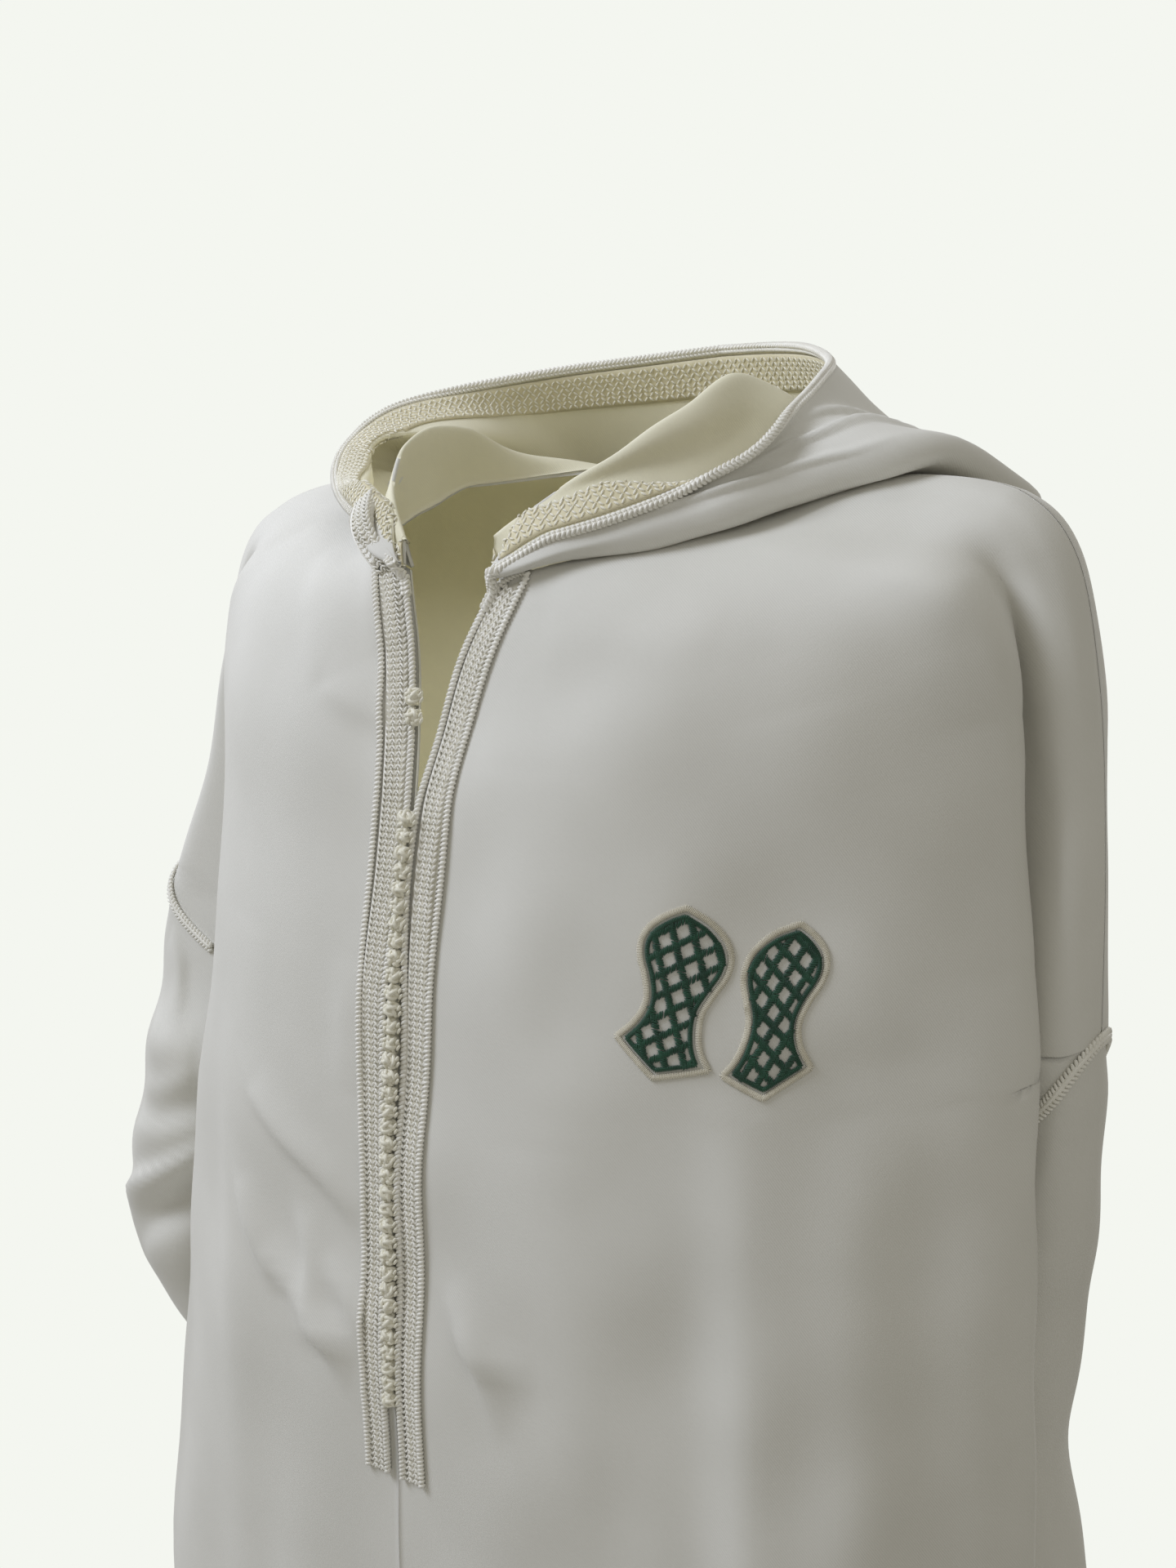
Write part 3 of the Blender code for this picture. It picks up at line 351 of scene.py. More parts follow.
def body(side, around, row):
    """Points of the body's outer face, and its outward normals."""
    around, row = np.broadcast_arrays(np.asarray(around, float), np.asarray(row, float))

    def folded(a, r):
        a = np.clip(a, 0.0, 2.0)
        r = np.clip(r, 0.0, BODY_STOPS[-1])
        plain = plain_body(side, a, r)
        inward = normals_of(lambda p, q: plain_body(side, np.clip(p, 0, 2), np.clip(q, 0, HEM_ROW)), a, r)
        return plain - side * inward * fold_height(side, a, r)[..., None]

    return folded(around, row), -side * normals_of(folded, around, row)


def armhole_end(side, row):
    """How far a section runs at a row: to the shoulder line, the armhole or the side seam."""
    start = ARMHOLE_ROW[side]
    part = np.clip((row - start) / (UNDERARM_ROW - start), 0, 1)
    return 1 - (1 - SIDE_STOP) * np.sqrt(part) * (1 - 0.25 * part * (1 - part))


def seam_normal(side, around, row):
    """The normal that both panels share at the shoulder line and the side seam."""
    ahead = body(side, around, row)[1]
    behind = body(side, 2 - around, row)[1]
    return unit(ahead + behind)


def armhole_row(side, half):
    """Row number at a share of the armhole, from the shoulder line (0) to the underarm (1)."""
    start = ARMHOLE_ROW[side]
    return start + (UNDERARM_ROW - start) * half ** 1.4


def grid_faces(rows, cols, closed):
    """Quads of a grid of points, joined round where it is a tube."""
    across = cols if closed else cols - 1
    return [(i * cols + j, (i + 1) * cols + j, (i + 1) * cols + (j + 1) % cols, i * cols + (j + 1) % cols)
            for i in range(rows - 1) for j in range(across)]


def armhole_loop(side, turn):
    """Points of the armhole: turn 0 is the shoulder line, 0.5 the underarm, by way of the front."""
    turn = np.asarray(turn, float) % 1.0
    row = armhole_row(side, 1 - np.abs(2 * turn - 1))
    end = armhole_end(side, row)
    around = np.where(turn <= 0.5, end, 2 - end)
    return body(side, around, row)


def sleeve_ring(rows, place, turn, side):
    """Points of the sleeve's plain tube at a ring number and a turn."""
    table = columns(SLEEVE_COLUMNS, rows)
    stops = np.arange(len(rows), dtype=float)
    value = {name: through(stops, table[name], place) for name in SLEEVE_COLUMNS}
    angle = 2 * math.pi * turn
    across = value["half_across"] * np.cos(angle)
    deep = -value["half_deep"] * np.sin(angle)
    lean = np.radians(value["lean"])
    return np.stack((value["x"] + side * across * np.cos(lean), value["y"] + deep,
                     value["z"] + across * np.sin(lean)), -1)


SLEEVE_ROWS = {1: SLEEVE_LEFT_ROWS, -1: SLEEVE_RIGHT_ROWS}


def sleeve_points(side, place, turn):
    """The sleeve from the armhole (place 0) to the cuff: the loop's shape fades into the tube."""
    rows = SLEEVE_ROWS[side]
    place, turn = np.broadcast_arrays(np.asarray(place, float), np.asarray(turn, float))
    tube = sleeve_ring(rows, place, turn, side)
    loop = armhole_loop(side, turn)[0]
    start = sleeve_ring(rows, np.zeros_like(place), turn, side)
    fade = (1 - ease(place / 1.6))[..., None]
    return tube + (loop - start) * fade


def grid_normals(points, closed=False):
    """Normals of a grid of points, from its neighbours."""
    down = np.gradient(points, axis=0)
    if closed:
        along = (np.roll(points, -1, 1) - np.roll(points, 1, 1)) / 2
    else:
        along = np.gradient(points, axis=1)
    return unit(np.cross(along, down))


def edge_pace(side, row):
    """How many metres of cloth one step of around covers beside a front's edge."""
    return np.linalg.norm(body(side, EDGE_STEP, row)[0] - body(side, 0.0, row)[0], axis=-1) / EDGE_STEP


def beside_edge(side, row, across, lift):
    """Points on a front panel at a distance from its front edge, moved out by lift."""
    row = np.asarray(row, float)
    points, out = body(side, across / edge_pace(side, row), row)
    return points + out * np.asarray(lift)[..., None]


def row_at_height(height):
    """The row whose front centre lies at a height."""
    rows = np.linspace(0, HEM_ROW, 1201)
    return float(np.interp(-height, -body_value("front_z", rows), rows))


def throat_knot_place(height):
    """A knot above the row lies against the inner cord of the right front."""
    row = np.array(row_at_height(height))
    cord = beside_edge(-1, row, INNER_CORD_AT, CORD_RADIUS + SEAM)
    return cord + np.array((CORD_RADIUS + KNOT_RADIUS + SEAM, -KNOT_RADIUS / 3, 0.0))


def row_knot_place(height):
    """A knot of the row lies on the line where both fronts meet."""
    edge = body(1, 0.0, row_at_height(height))[0]
    return np.array((0.0, edge[1] - KNOT_RADIUS - SEAM, height))


def front_place(x, z):
    """Around and row numbers of the left front's points at given x and z, by stepping closer."""
    around, row = np.full(x.shape, 0.35), np.full(x.shape, 5.0)
    step = 0.01
    for _ in range(8):
        here = body(1, around, row)[0]
        by_around = (body(1, around + step, row)[0] - here) / step
        by_row = (body(1, around, row + step)[0] - here) / step
        miss_x, miss_z = x - here[..., 0], z - here[..., 2]
        ground = by_around[..., 0] * by_row[..., 2] - by_row[..., 0] * by_around[..., 2]
        around = around + (miss_x * by_row[..., 2] - by_row[..., 0] * miss_z) / ground
        row = row + (by_around[..., 0] * miss_z - miss_x * by_around[..., 2]) / ground
    return around, row


# Finer grids than the solids'
FRONT_ROWS = (140, 50)
FRONT_COLUMNS = 92
BACK_ROWS = (90, 44)
BACK_COLUMNS = 66
SLEEVE_GRID = (90, 120)
HOOD_GRID = (110, 190)
FINE_FROM_ROW = 8.6
UNDULATION = 0.0012
HOOD_UNDULATION = 0.0006
WAVE_COUNT = 9
EDGE_FADE = 18

# Seeds of the random waves and stitches
PANEL_SEED = 11
SLEEVE_SEED = 31
HOOD_SEED = 51
KNOT_SEED = 5
EMBLEM_SEED = 9

# Creases of the fronts: side, height, width towards the centre, width away from it,
# and the points (x, z) that the crease passes through
FRONT_CREASES = (
    (-1, 0.0032, 0.010, 0.018, (-0.088, -0.016), (-0.070, -0.044), (-0.056, -0.072)),
    (-1, 0.0024, 0.006, 0.012, (-0.046, -0.012), (-0.038, -0.036), (-0.028, -0.056)),
    (-1, 0.0026, 0.007, 0.012, (-0.058, -0.070), (-0.034, -0.078), (-0.016, -0.083)),
    (-1, 0.0052, 0.0045, 0.011, (-0.087, -0.248), (-0.062, -0.266), (-0.038, -0.280), (-0.019, -0.296)),
    (-1, 0.0044, 0.0045, 0.010, (-0.095, -0.292), (-0.085, -0.313), (-0.070, -0.340)),
    (-1, 0.0056, 0.0045, 0.011, (-0.079, -0.322), (-0.050, -0.341), (-0.024, -0.368)),
    (-1, 0.0040, 0.0045, 0.009, (-0.062, -0.352), (-0.040, -0.350), (-0.017, -0.352)),
    (-1, 0.0038, 0.0045, 0.009, (-0.055, -0.296), (-0.048, -0.318), (-0.046, -0.342)),
    (-1, 0.0036, 0.0040, 0.009, (-0.042, -0.318), (-0.026, -0.330), (-0.014, -0.346)),
    (-1, 0.0018, 0.008, 0.012, (-0.026, -0.180), (-0.027, -0.205), (-0.026, -0.240)),
    (-1, 0.0050, 0.020, 0.026, (-0.100, -0.170), (-0.104, -0.282), (-0.099, -0.370), (-0.100, -0.520)),
    (-1, 0.0060, 0.026, 0.032, (-0.060, -0.470), (-0.072, -0.860), (-0.076, -1.380)),
    (-1, 0.0065, 0.028, 0.030, (-0.165, -0.430), (-0.172, -0.900), (-0.190, -1.390)),
    (1, 0.0046, 0.0050, 0.011, (0.028, -0.308), (0.046, -0.338), (0.058, -0.368)),
    (1, 0.0036, 0.0045, 0.010, (0.032, -0.326), (0.050, -0.339), (0.074, -0.343)),
    (1, 0.0120, 0.014, 0.030, (0.151, -0.200), (0.156, -0.282), (0.160, -0.360), (0.166, -0.560)),
    (1, 0.0075, 0.016, 0.018, (0.192, -0.190), (0.190, -0.270), (0.197, -0.360), (0.200, -0.560)),
    (1, 0.0050, 0.014, 0.020, (0.217, -0.160), (0.223, -0.264), (0.229, -0.360), (0.234, -0.520)),
    (1, 0.0045, 0.020, 0.026, (0.088, -0.220), (0.094, -0.303), (0.099, -0.370), (0.104, -0.600)),
    (1, 0.0045, 0.016, 0.022, (0.176, 0.022), (0.199, -0.015), (0.216, -0.070)),
    (1, 0.0022, 0.014, 0.020, (0.052, -0.042), (0.087, -0.036), (0.130, -0.038)),
    (1, 0.0035, 0.020, 0.030, (0.158, -0.060), (0.186, -0.140), (0.194, -0.220)),
    (1, 0.0026, 0.022, 0.024, (0.056, -0.090), (0.063, -0.174), (0.070, -0.245)),
    (1, 0.0065, 0.030, 0.032, (0.060, -0.580), (0.074, -0.940), (0.086, -1.385)),
    (1, 0.0070, 0.026, 0.034, (0.166, -0.500), (0.176, -0.900), (0.198, -1.390)),
)
BACK_CREASES = (
    (1, 0.0065, 0.024, 0.032, (0.050, -0.320), (0.062, -0.800), (0.074, -1.370)),
    (1, 0.0055, 0.020, 0.028, (0.132, -0.180), (0.150, -0.600), (0.176, -1.260)),
    (1, 0.0030, 0.012, 0.020, (0.100, -0.030), (0.142, -0.100), (0.176, -0.210)),
    (1, 0.0045, 0.018, 0.024, (0.212, -0.340), (0.226, -0.820), (0.240, -1.320)),
    (-1, 0.0060, 0.026, 0.030, (-0.042, -0.280), (-0.060, -0.750), (-0.078, -1.350)),
    (-1, 0.0055, 0.022, 0.026, (-0.140, -0.210), (-0.152, -0.660), (-0.168, -1.300)),
    (-1, 0.0032, 0.012, 0.018, (-0.092, -0.048), (-0.134, -0.124), (-0.182, -0.190)),
    (-1, 0.0045, 0.018, 0.022, (-0.206, -0.400), (-0.222, -0.860), (-0.236, -1.280)),
)
# Creases of the sleeves: side, height, width, width, and points (turn, place)
SLEEVE_ASPECT = 0.10
SLEEVE_CREASES = (
    (-1, 0.0040, 0.018, 0.030, (0.170, 1.22), (0.230, 1.26), (0.330, 1.22)),
    (-1, 0.0042, 0.014, 0.026, (0.175, 1.84), (0.250, 1.72), (0.340, 1.46)),
    (-1, 0.0060, 0.014, 0.028, (0.170, 2.24), (0.280, 2.12), (0.400, 1.90)),
    (-1, 0.0085, 0.011, 0.034, (0.130, 2.98), (0.190, 2.84), (0.270, 2.60), (0.400, 2.10)),
    (-1, -0.0080, 0.028, 0.024, (0.165, 3.40), (0.240, 3.18), (0.420, 2.70)),
    (-1, 0.0030, 0.020, 0.030, (0.190, 0.20), (0.240, 0.50), (0.260, 1.00)),
    (-1, 0.0045, 0.020, 0.030, (0.620, 2.10), (0.740, 2.30), (0.880, 2.00)),
    (-1, 0.0040, 0.020, 0.026, (0.120, 4.90), (0.260, 5.10), (0.420, 4.80)),
    (1, 0.0040, 0.018, 0.030, (0.100, 1.35), (0.220, 1.48), (0.330, 1.30)),
    (1, 0.0050, 0.016, 0.028, (0.120, 2.42), (0.260, 2.20), (0.380, 2.00)),
    (1, 0.0042, 0.020, 0.030, (0.150, 4.20), (0.300, 4.50), (0.420, 4.40)),
    (1, 0.0042, 0.018, 0.030, (0.620, 1.60), (0.720, 1.92), (0.860, 1.80)),
    (1, -0.0050, 0.022, 0.030, (0.600, 3.10), (0.740, 3.32), (0.880, 3.00)),
)
# Creases of the hood: side, height, width, width, and points (around, part)
HOOD_CREASES = (
    (1, 0.0032, 0.018, 0.034, (0.720, 0.800), (1.000, 0.730), (1.280, 0.660)),
    (1, 0.0026, 0.018, 0.030, (0.460, 0.700), (0.740, 0.630), (0.980, 0.570)),
    (1, 0.0030, 0.022, 0.040, (0.960, 0.930), (1.080, 0.820), (1.220, 0.760)),
    (1, 0.0042, 0.018, 0.030, (0.340, 0.170), (0.600, 0.210), (0.880, 0.230)),
    (1, 0.0030, 0.014, 0.020, (0.420, 0.310), (0.700, 0.340), (0.960, 0.330)),
    (-1, 0.0036, 0.018, 0.028, (0.380, 0.200), (0.600, 0.220), (0.840, 0.260)),
    (-1, 0.0030, 0.016, 0.026, (0.500, 0.330), (0.740, 0.350), (1.000, 0.340)),
    (1, 0.0060, 0.030, 0.050, (1.460, 0.560), (1.700, 0.700), (1.900, 0.900)),
    (-1, 0.0060, 0.030, 0.048, (1.420, 0.600), (1.650, 0.750), (1.860, 0.930)),
    (1, 0.0042, 0.028, 0.040, (1.940, 0.460), (1.800, 0.600), (1.600, 0.860)),
    (-1, 0.0042, 0.026, 0.040, (1.900, 0.500), (1.700, 0.560), (1.480, 0.630)),
)


def waves(first, second, seed, scale):
    """A smooth uneven height from a few long waves in two directions."""
    chance = np.random.default_rng(seed)
    total = np.zeros(np.broadcast(first, second).shape)
    for _ in range(WAVE_COUNT):
        angle = chance.uniform(0, math.pi)
        length = scale * chance.uniform(0.6, 1.7)
        phase = chance.uniform(0, 2 * math.pi)
        along = first * math.cos(angle) + second * math.sin(angle)
        total += np.sin(along * 2 * math.pi / length + phase)
    return total / WAVE_COUNT ** 0.5


def crease_height(first, second, crease, aspect=1.0):
    """Height of one crease at points of a plane: a soft ridge along a line, uneven on its two sides."""
    height, near, far, *line = crease
    best = np.full(first.shape, 1e9)
    side = np.zeros(first.shape)
    along = np.zeros(first.shape)
    line = [(a, b * aspect) for a, b in line]
    second = second * aspect
    lengths = [math.dist(p, q) for p, q in zip(line, line[1:])]
    whole = sum(lengths)
    passed = 0.0
    for (ax, ay), (bx, by), length in zip(line, line[1:], lengths):
        dx, dy = (bx - ax) / length, (by - ay) / length
        part = np.clip((first - ax) * dx + (second - ay) * dy, 0, length)
        across = (first - ax) * dy - (second - ay) * dx
        distance = np.hypot(first - ax - part * dx, second - ay - part * dy)
        closer = distance < best
        best = np.where(closer, distance, best)
        side = np.where(closer, across, side)
        along = np.where(closer, (passed + part) / whole, along)
        passed += length
    width = np.where(side > 0, near, far)
    ends = np.clip(np.sin(math.pi * np.clip(along, 0.02, 0.98)), 0, 1) ** 0.7
    return height * np.exp(-(best / width) ** 2) * ends


def creased(height, side, creases, first, second, aspect=1.0):
    """The height with the creases of one side of the robe added."""
    for crease in creases:
        if crease[0] == side:
            height = height + crease_height(first, second, crease[1:], aspect)
    return height


def turned(normals, like):
    """Normals turned to the same side as the ones given."""
    same = np.sum(normals * like, axis=-1, keepdims=True)
    return np.where(same < 0, -normals, normals)


def cloth_mesh(name, outer, inner, closed, finishes, node):
    """A closed cloth piece of an outer and an inner layer that stands for a solid of the frame."""
    rows, cols = outer.shape[:2]
    quads = np.array(grid_faces(rows, cols, closed))
    count = rows * cols
    rims = []
    across = cols if closed else cols - 1
    for j in range(across):
        k = (j + 1) % cols
        rims.append((k, j, j + count, k + count))
        last = (rows - 1) * cols
        rims.append((last + j, last + k, last + k + count, last + j + count))
    if not closed:
        for i in range(rows - 1):
            a, b = i * cols, (i + 1) * cols
            rims.append((a, b, b + count, a + count))
            a, b = a + cols - 1, b + cols - 1
            rims.append((b, a, a + count, b + count))
    faces = quads.tolist() + (quads[:, ::-1] + count).tolist() + rims
    points = np.concatenate((outer.reshape(-1, 3), inner.reshape(-1, 3)))
    mesh = bpy.data.meshes.new(name)
    mesh.from_pydata(points.tolist(), [], faces)
    for finish in finishes:
        mesh.materials.append(finish)
    slots = np.zeros(len(faces), int)
    slots[len(quads):2 * len(quads)] = 1
    mesh.polygons.foreach_set("material_index", slots)
    if volume_of(mesh) < 0:
        mesh.flip_normals()
    mesh.shade_smooth()
    piece = bpy.data.objects.new(name, mesh)
    bpy.context.scene.collection.objects.link(piece)
    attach(piece, "root")
    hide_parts(node)
    return piece


def volume_of(mesh):
    """Volume of a mesh, negative where its faces look inward."""
    count = len(mesh.vertices)
    points = np.zeros(count * 3)
    mesh.vertices.foreach_get("co", points)
    points = points.reshape(-1, 3)
    mesh.calc_loop_triangles()
    corners = np.zeros(len(mesh.loop_triangles) * 3, np.int32)
    mesh.loop_triangles.foreach_get("vertices", corners)
    a, b, c = (points[corners.reshape(-1, 3)[:, i]] for i in range(3))
    return float(np.sum(a * np.cross(b, c)) / 6)


def fine_rows(counts):
    """Row numbers of a fine panel: close down to the lowest row that the photo shows."""
    upper = np.linspace(0, FINE_FROM_ROW, counts[0])
    lower = np.linspace(FINE_FROM_ROW, HEM_ROW, counts[1] + 1)[1:]
    return np.concatenate((upper, lower))


def body_grid(side, face, around, rows):
    """Outer points of a grid on the body with its folds, and the outward normals."""
    sign = -side if face == "front" else side
    plain = plain_body(side, around, rows)
    out = grid_normals(plain) * sign
    points = plain + out * fold_height(side, around, rows + 0 * around)[..., None]
    return points, grid_normals(points) * sign


def towards_seam(share):
    """1 on a panel, falling to 0 at its side edge."""
    return np.minimum((1 - share) * EDGE_FADE, 1)


def panel_lift(side, creases, points, share, rows):
    """How far the waves and creases lift the cloth of half a panel at some of its points."""
    height = UNDULATION * waves(points[..., 0], points[..., 2], PANEL_SEED + side, 0.09)
    height = creased(height, side, creases, points[..., 0], points[..., 2])
    return height * towards_seam(share) * ease((rows + 0.4) / 1.2)


def lifted_front(side, around, row):
    """Points and outward normals on a front as it is worn, with its creases."""
    points, out = body(side, around, row)
    ends = np.where(row < UNDERARM_ROW, armhole_end(side, row), SIDE_STOP)
    height = panel_lift(side, FRONT_CREASES, points, around / ends, row)
    return points + out * height[..., None], out


def fine_panel(side, face, counts, columns_count, creases):
    """Outer and inner points of half a panel, with its creases."""
    rows = fine_rows(counts)[:, None]
    ends = np.where(rows < UNDERARM_ROW, armhole_end(side, rows), SIDE_STOP)
    share = np.linspace(0, 1, columns_count)[None, :]
    place = ends * share
    around = place if face == "front" else 2 - place
    points, out = body_grid(side, face, around, rows + 0 * place)
    height = panel_lift(side, creases, points, share, rows)
    points = points + out * height[..., None]
    normal = turned(grid_normals(points), out)
    shared = seam_normal(side, around[:, -1], rows[:, 0])
    blend = (towards_seam(share) * np.ones_like(rows))[..., None]
    normal = unit(normal * blend + shared[:, None] * (1 - blend))
    inner = points - normal * WALL
    points[:, -1] += (points[:, -2] - points[:, -1]) * 0.08
    return points, inner


def fronts(finishes):
    for name, side in (("front_left", 1), ("front_right", -1)):
        outer, inner = fine_panel(side, "front", FRONT_ROWS, FRONT_COLUMNS, FRONT_CREASES)
        piece = cloth_mesh(name + "_cloth", outer, inner, False, finishes, name)


def back(finishes):
    left_outer, left_inner = fine_panel(1, "back", BACK_ROWS, BACK_COLUMNS, BACK_CREASES)
    right_outer, right_inner = fine_panel(-1, "back", BACK_ROWS, BACK_COLUMNS, BACK_CREASES)
    outer = np.concatenate((left_outer[:, ::-1], right_outer[:, 1:]), 1)
    inner = np.concatenate((left_inner[:, ::-1], right_inner[:, 1:]), 1)
    piece = cloth_mesh("back_cloth", outer, inner, False, finishes, "back")


def sleeves(finishes):
    for name, side in (("sleeve_left", 1), ("sleeve_right", -1)):
        rings, around = SLEEVE_GRID
        turn = np.arange(around)[None, :] / around
        place = np.linspace(0, 1, rings)[:, None] * (len(SLEEVE_ROWS[side]) - 1)
        points = sleeve_points(side, place, turn)
        out = turned(grid_normals(points, closed=True), points - points.mean(1, keepdims=True))
        around_grid = np.broadcast_to(turn, points.shape[:2])
        place_grid = np.broadcast_to(place, points.shape[:2])
        height = UNDULATION * waves(points[..., 1], points[..., 2], SLEEVE_SEED + side, 0.07)
        height = creased(height, side, SLEEVE_CREASES, around_grid, place_grid, SLEEVE_ASPECT)
        height = height * ease(place / 0.5)
        points = points + out * height[..., None]
        out = turned(grid_normals(points, closed=True), out)
        points[0] += unit(points[1] - points[0]) * SEAM
        piece = cloth_mesh(name + "_cloth", points, points - out * WALL, True, finishes, name)


# The hood's inner fold that stands up beside the neck: around, then x, y, z on either side
RIDGE_COLUMNS = ("around", "left_x", "left_y", "left_z", "right_x", "right_y", "right_z", "share")
RIDGE_ROWS = (
    (2.00, 0.000, 0.092, 0.010, 0.000, 0.092, 0.010, 0.0),
    (1.60, 0.046, 0.080, 0.014, -0.046, 0.080, 0.014, 0.0),
    (1.38, 0.076, 0.050, 0.022, -0.070, 0.048, 0.020, 0.5),
    (1.05, 0.090, 0.016, 0.045, -0.078, 0.014, 0.029, 1.0),
    (0.85, 0.084, -0.009, 0.0575, -0.078, -0.012, 0.031, 1.0),
    (0.66, 0.075, -0.034, 0.0440, -0.070, -0.038, 0.025, 1.0),
    (0.48, 0.061, -0.058, 0.0275, -0.056, -0.060, 0.018, 1.0),
    (0.28, 0.041, -0.076, 0.0110, -0.043, -0.077, 0.006, 1.0),
    (0.00, 0.023, -0.089, -0.0060, -0.025, -0.090, -0.010, 1.0),
)
RIDGE = columns(RIDGE_COLUMNS, RIDGE_ROWS)

# How far down the body the fine hood reaches, how thick it is and how far its top lifts
REACH_COLUMNS = ("around", "left_reach", "right_reach", "loft", "lift", "turn")
REACH_ROWS = (
    (2.00, 7.90, 7.90, 0.024, 0.014, 2.00),
    (1.80, 6.60, 6.60, 0.024, 0.014, 1.90),
    (1.60, 4.40, 4.20, 0.020, 0.010, 1.76),
    (1.38, 2.60, 2.20, 0.013, 0.006, 1.50),
    (1.15, 1.72, 1.25, 0.012, 0.004, 1.20),
    (0.98, 1.32, 0.98, 0.012, 0.003, 1.00),
    (0.83, 0.82, 0.66, 0.011, 0.003, 0.86),
    (0.66, 0.68, 0.40, 0.010, 0.003, 0.68),
    (0.48, 0.50, 0.22, 0.008, 0.002, 0.50),
    (0.30, 0.24, 0.10, 0.005, 0.001, 0.34),
    (0.00, 0.03, 0.02, 0.003, 0.000, 0.03),
)
REACH = columns(REACH_COLUMNS, REACH_ROWS)
HOOD_FINE_STOPS = np.array((0.0, 0.13, 0.32, 0.44, 0.50, 0.56, 0.80, 1.0))
HOOD_CLEARANCE = 0.0035
CORNER_FLIP = (0.62, 0.30)
CORNER_REACH = 0.15


def read_table(table, name, place):
    return through(-table["around"], table[name], -np.asarray(place, float))


def hood_stops(side, around):
    """The points that each cross-section of the fine hood passes through, from seam to edge."""
    prefix = "left_" if side > 0 else "right_"
    reach = read_table(REACH, prefix + "reach", around)
    loft = read_table(REACH, "loft", around)
    lift = read_table(REACH, "lift", around)
    turn = read_table(REACH, "turn", around)
    ridge = np.stack([read_table(RIDGE, prefix + axis, around) for axis in "xyz"], -1)
    ridge_share = np.clip(read_table(RIDGE, "share", around), 0, 1)[:, None]
    edge = np.stack([through(-HOOD["around"], HOOD[prefix + axis], -around) for axis in "xyz"], -1)

    def above(share, height):
        spot, out = body(side, around + (turn - around) * share, reach * share)
        return spot + out * (height + 0 * around)[:, None]

    seam = above(0.0, -WALL * 1.4) + np.array((0, 0, 0.0015))
    start = above(0.14, HOOD_CLEARANCE) * (1 - ridge_share) + ridge * ridge_share
    valley = above(0.55, HOOD_CLEARANCE)
    low = above(0.92, HOOD_CLEARANCE)
    roll = above(1.0, HOOD_CLEARANCE + loft * 0.45)
    top = above(0.93, HOOD_CLEARANCE + loft)
    over = above(0.45, HOOD_CLEARANCE + loft + lift)
    near_edge = edge * 0.45 + above(0.6, HOOD_CLEARANCE + loft + lift) * 0.55
    share = ease((1.3 - around) / 0.4)[:, None]
    over = over * (1 - share) + near_edge * share
    flip = ease((CORNER_FLIP[0] - around) / CORNER_FLIP[1])[:, None]
    to_neck = ridge - edge
    length = np.linalg.norm(to_neck, axis=1, keepdims=True)
    flipped = edge + to_neck / length * np.minimum(length * 0.8, 0.015) + np.array((0, 0, 0.003))
    over = over * (1 - flip) + flipped * flip
    corner = ease(around / CORNER_REACH)[:, None]
    edge = top * (1 - corner) + edge * corner
    over = top * (1 - corner) + over * corner
    return np.stack((seam, start, valley, low, roll, top, over, edge))


def hood_surface(side, around, parts):
    """Points of the fine hood: one row for each part and one column for each place around."""
    stops = hood_stops(side, around)
    slope = slopes(HOOD_FINE_STOPS, stops)
    rows = []
    for part in parts:
        index = int(np.clip(np.searchsorted(HOOD_FINE_STOPS, part, side="right") - 1, 0, 6))
        span = HOOD_FINE_STOPS[index + 1] - HOOD_FINE_STOPS[index]
        t = (part - HOOD_FINE_STOPS[index]) / span
        start, end = stops[index], stops[index + 1]
        leave, arrive = slope[index] * span, slope[index + 1] * span
        rows.append((2 * t ** 3 - 3 * t ** 2 + 1) * start + (t ** 3 - 2 * t ** 2 + t) * leave
                    + (3 * t ** 2 - 2 * t ** 3) * end + (t ** 3 - t ** 2) * arrive)
    return np.stack(rows)


def hood_cloth(finishes):
    parts_count, around_count = HOOD_GRID
    parts = np.linspace(0, 1, parts_count)
    half = np.linspace(0, 2, around_count // 2 + 1)
    halves = []
    for side in (1, -1):
        points = hood_surface(side, half, parts)
        around_grid = np.broadcast_to(half[None, :], points.shape[:2])
        part_grid = np.broadcast_to(parts[:, None], points.shape[:2])
        normal = grid_normals(points) * side
        level, height_at = points[..., 0] + points[..., 1], points[..., 2] * 1.5
        height = HOOD_UNDULATION * waves(level, height_at, HOOD_SEED + side, 0.07)
        height = creased(height, side, HOOD_CREASES, around_grid, part_grid)
        height = height * ease((1 - part_grid) / 0.08) * ease(part_grid / 0.1)
        halves.append(points + normal * height[..., None])
    middle = (halves[0][:, -1:] + halves[1][:, -1:]) / 2
    points = np.concatenate((halves[0][:, :-1], middle, halves[1][:, -2::-1]), 1)
    out = grid_normals(points)
    outside, inside = finishes
    piece = cloth_mesh("hood_cloth", points + out * WALL / 2, points - out * WALL / 2, False,
                       (outside, inside), "hood")
    return points, out


# Trim sizes
ROPE_PITCH = 0.0019
PLAIT_PITCH = 0.0021
CHEVRON_PITCH = 0.0026
CHEVRON_COLUMNS = (-0.0034, 0.0, 0.0034)
TRIM_NARROWING = 0.24
THROAT_SHIFT = 0.0032
HOOD_BAND_WIDTH = 0.019
HOOD_BAND_START = 0.0012
BRIDGE_PARTS = (0.80, 0.99)
BRIDGE_COLUMN = 14
BRIDGE_BULGE = 0.0075
BAND_STITCH_PITCH = 0.0028
BRIDGE_WAY = np.array((-0.2, -0.95, 0.2))
WOVEN_KNOT_RADIUS = 0.0040
KNOT_STRAND = 0.00092
KNOT_CORE = 1.1
GROUND_THICK = 0.0006
CHEVRON_SLANT = 52
CHEVRON_HALF_GAP = 0.00088
LINE_COLUMNS = (-0.0017, 0.0017)
LINE_AT = 0.0051

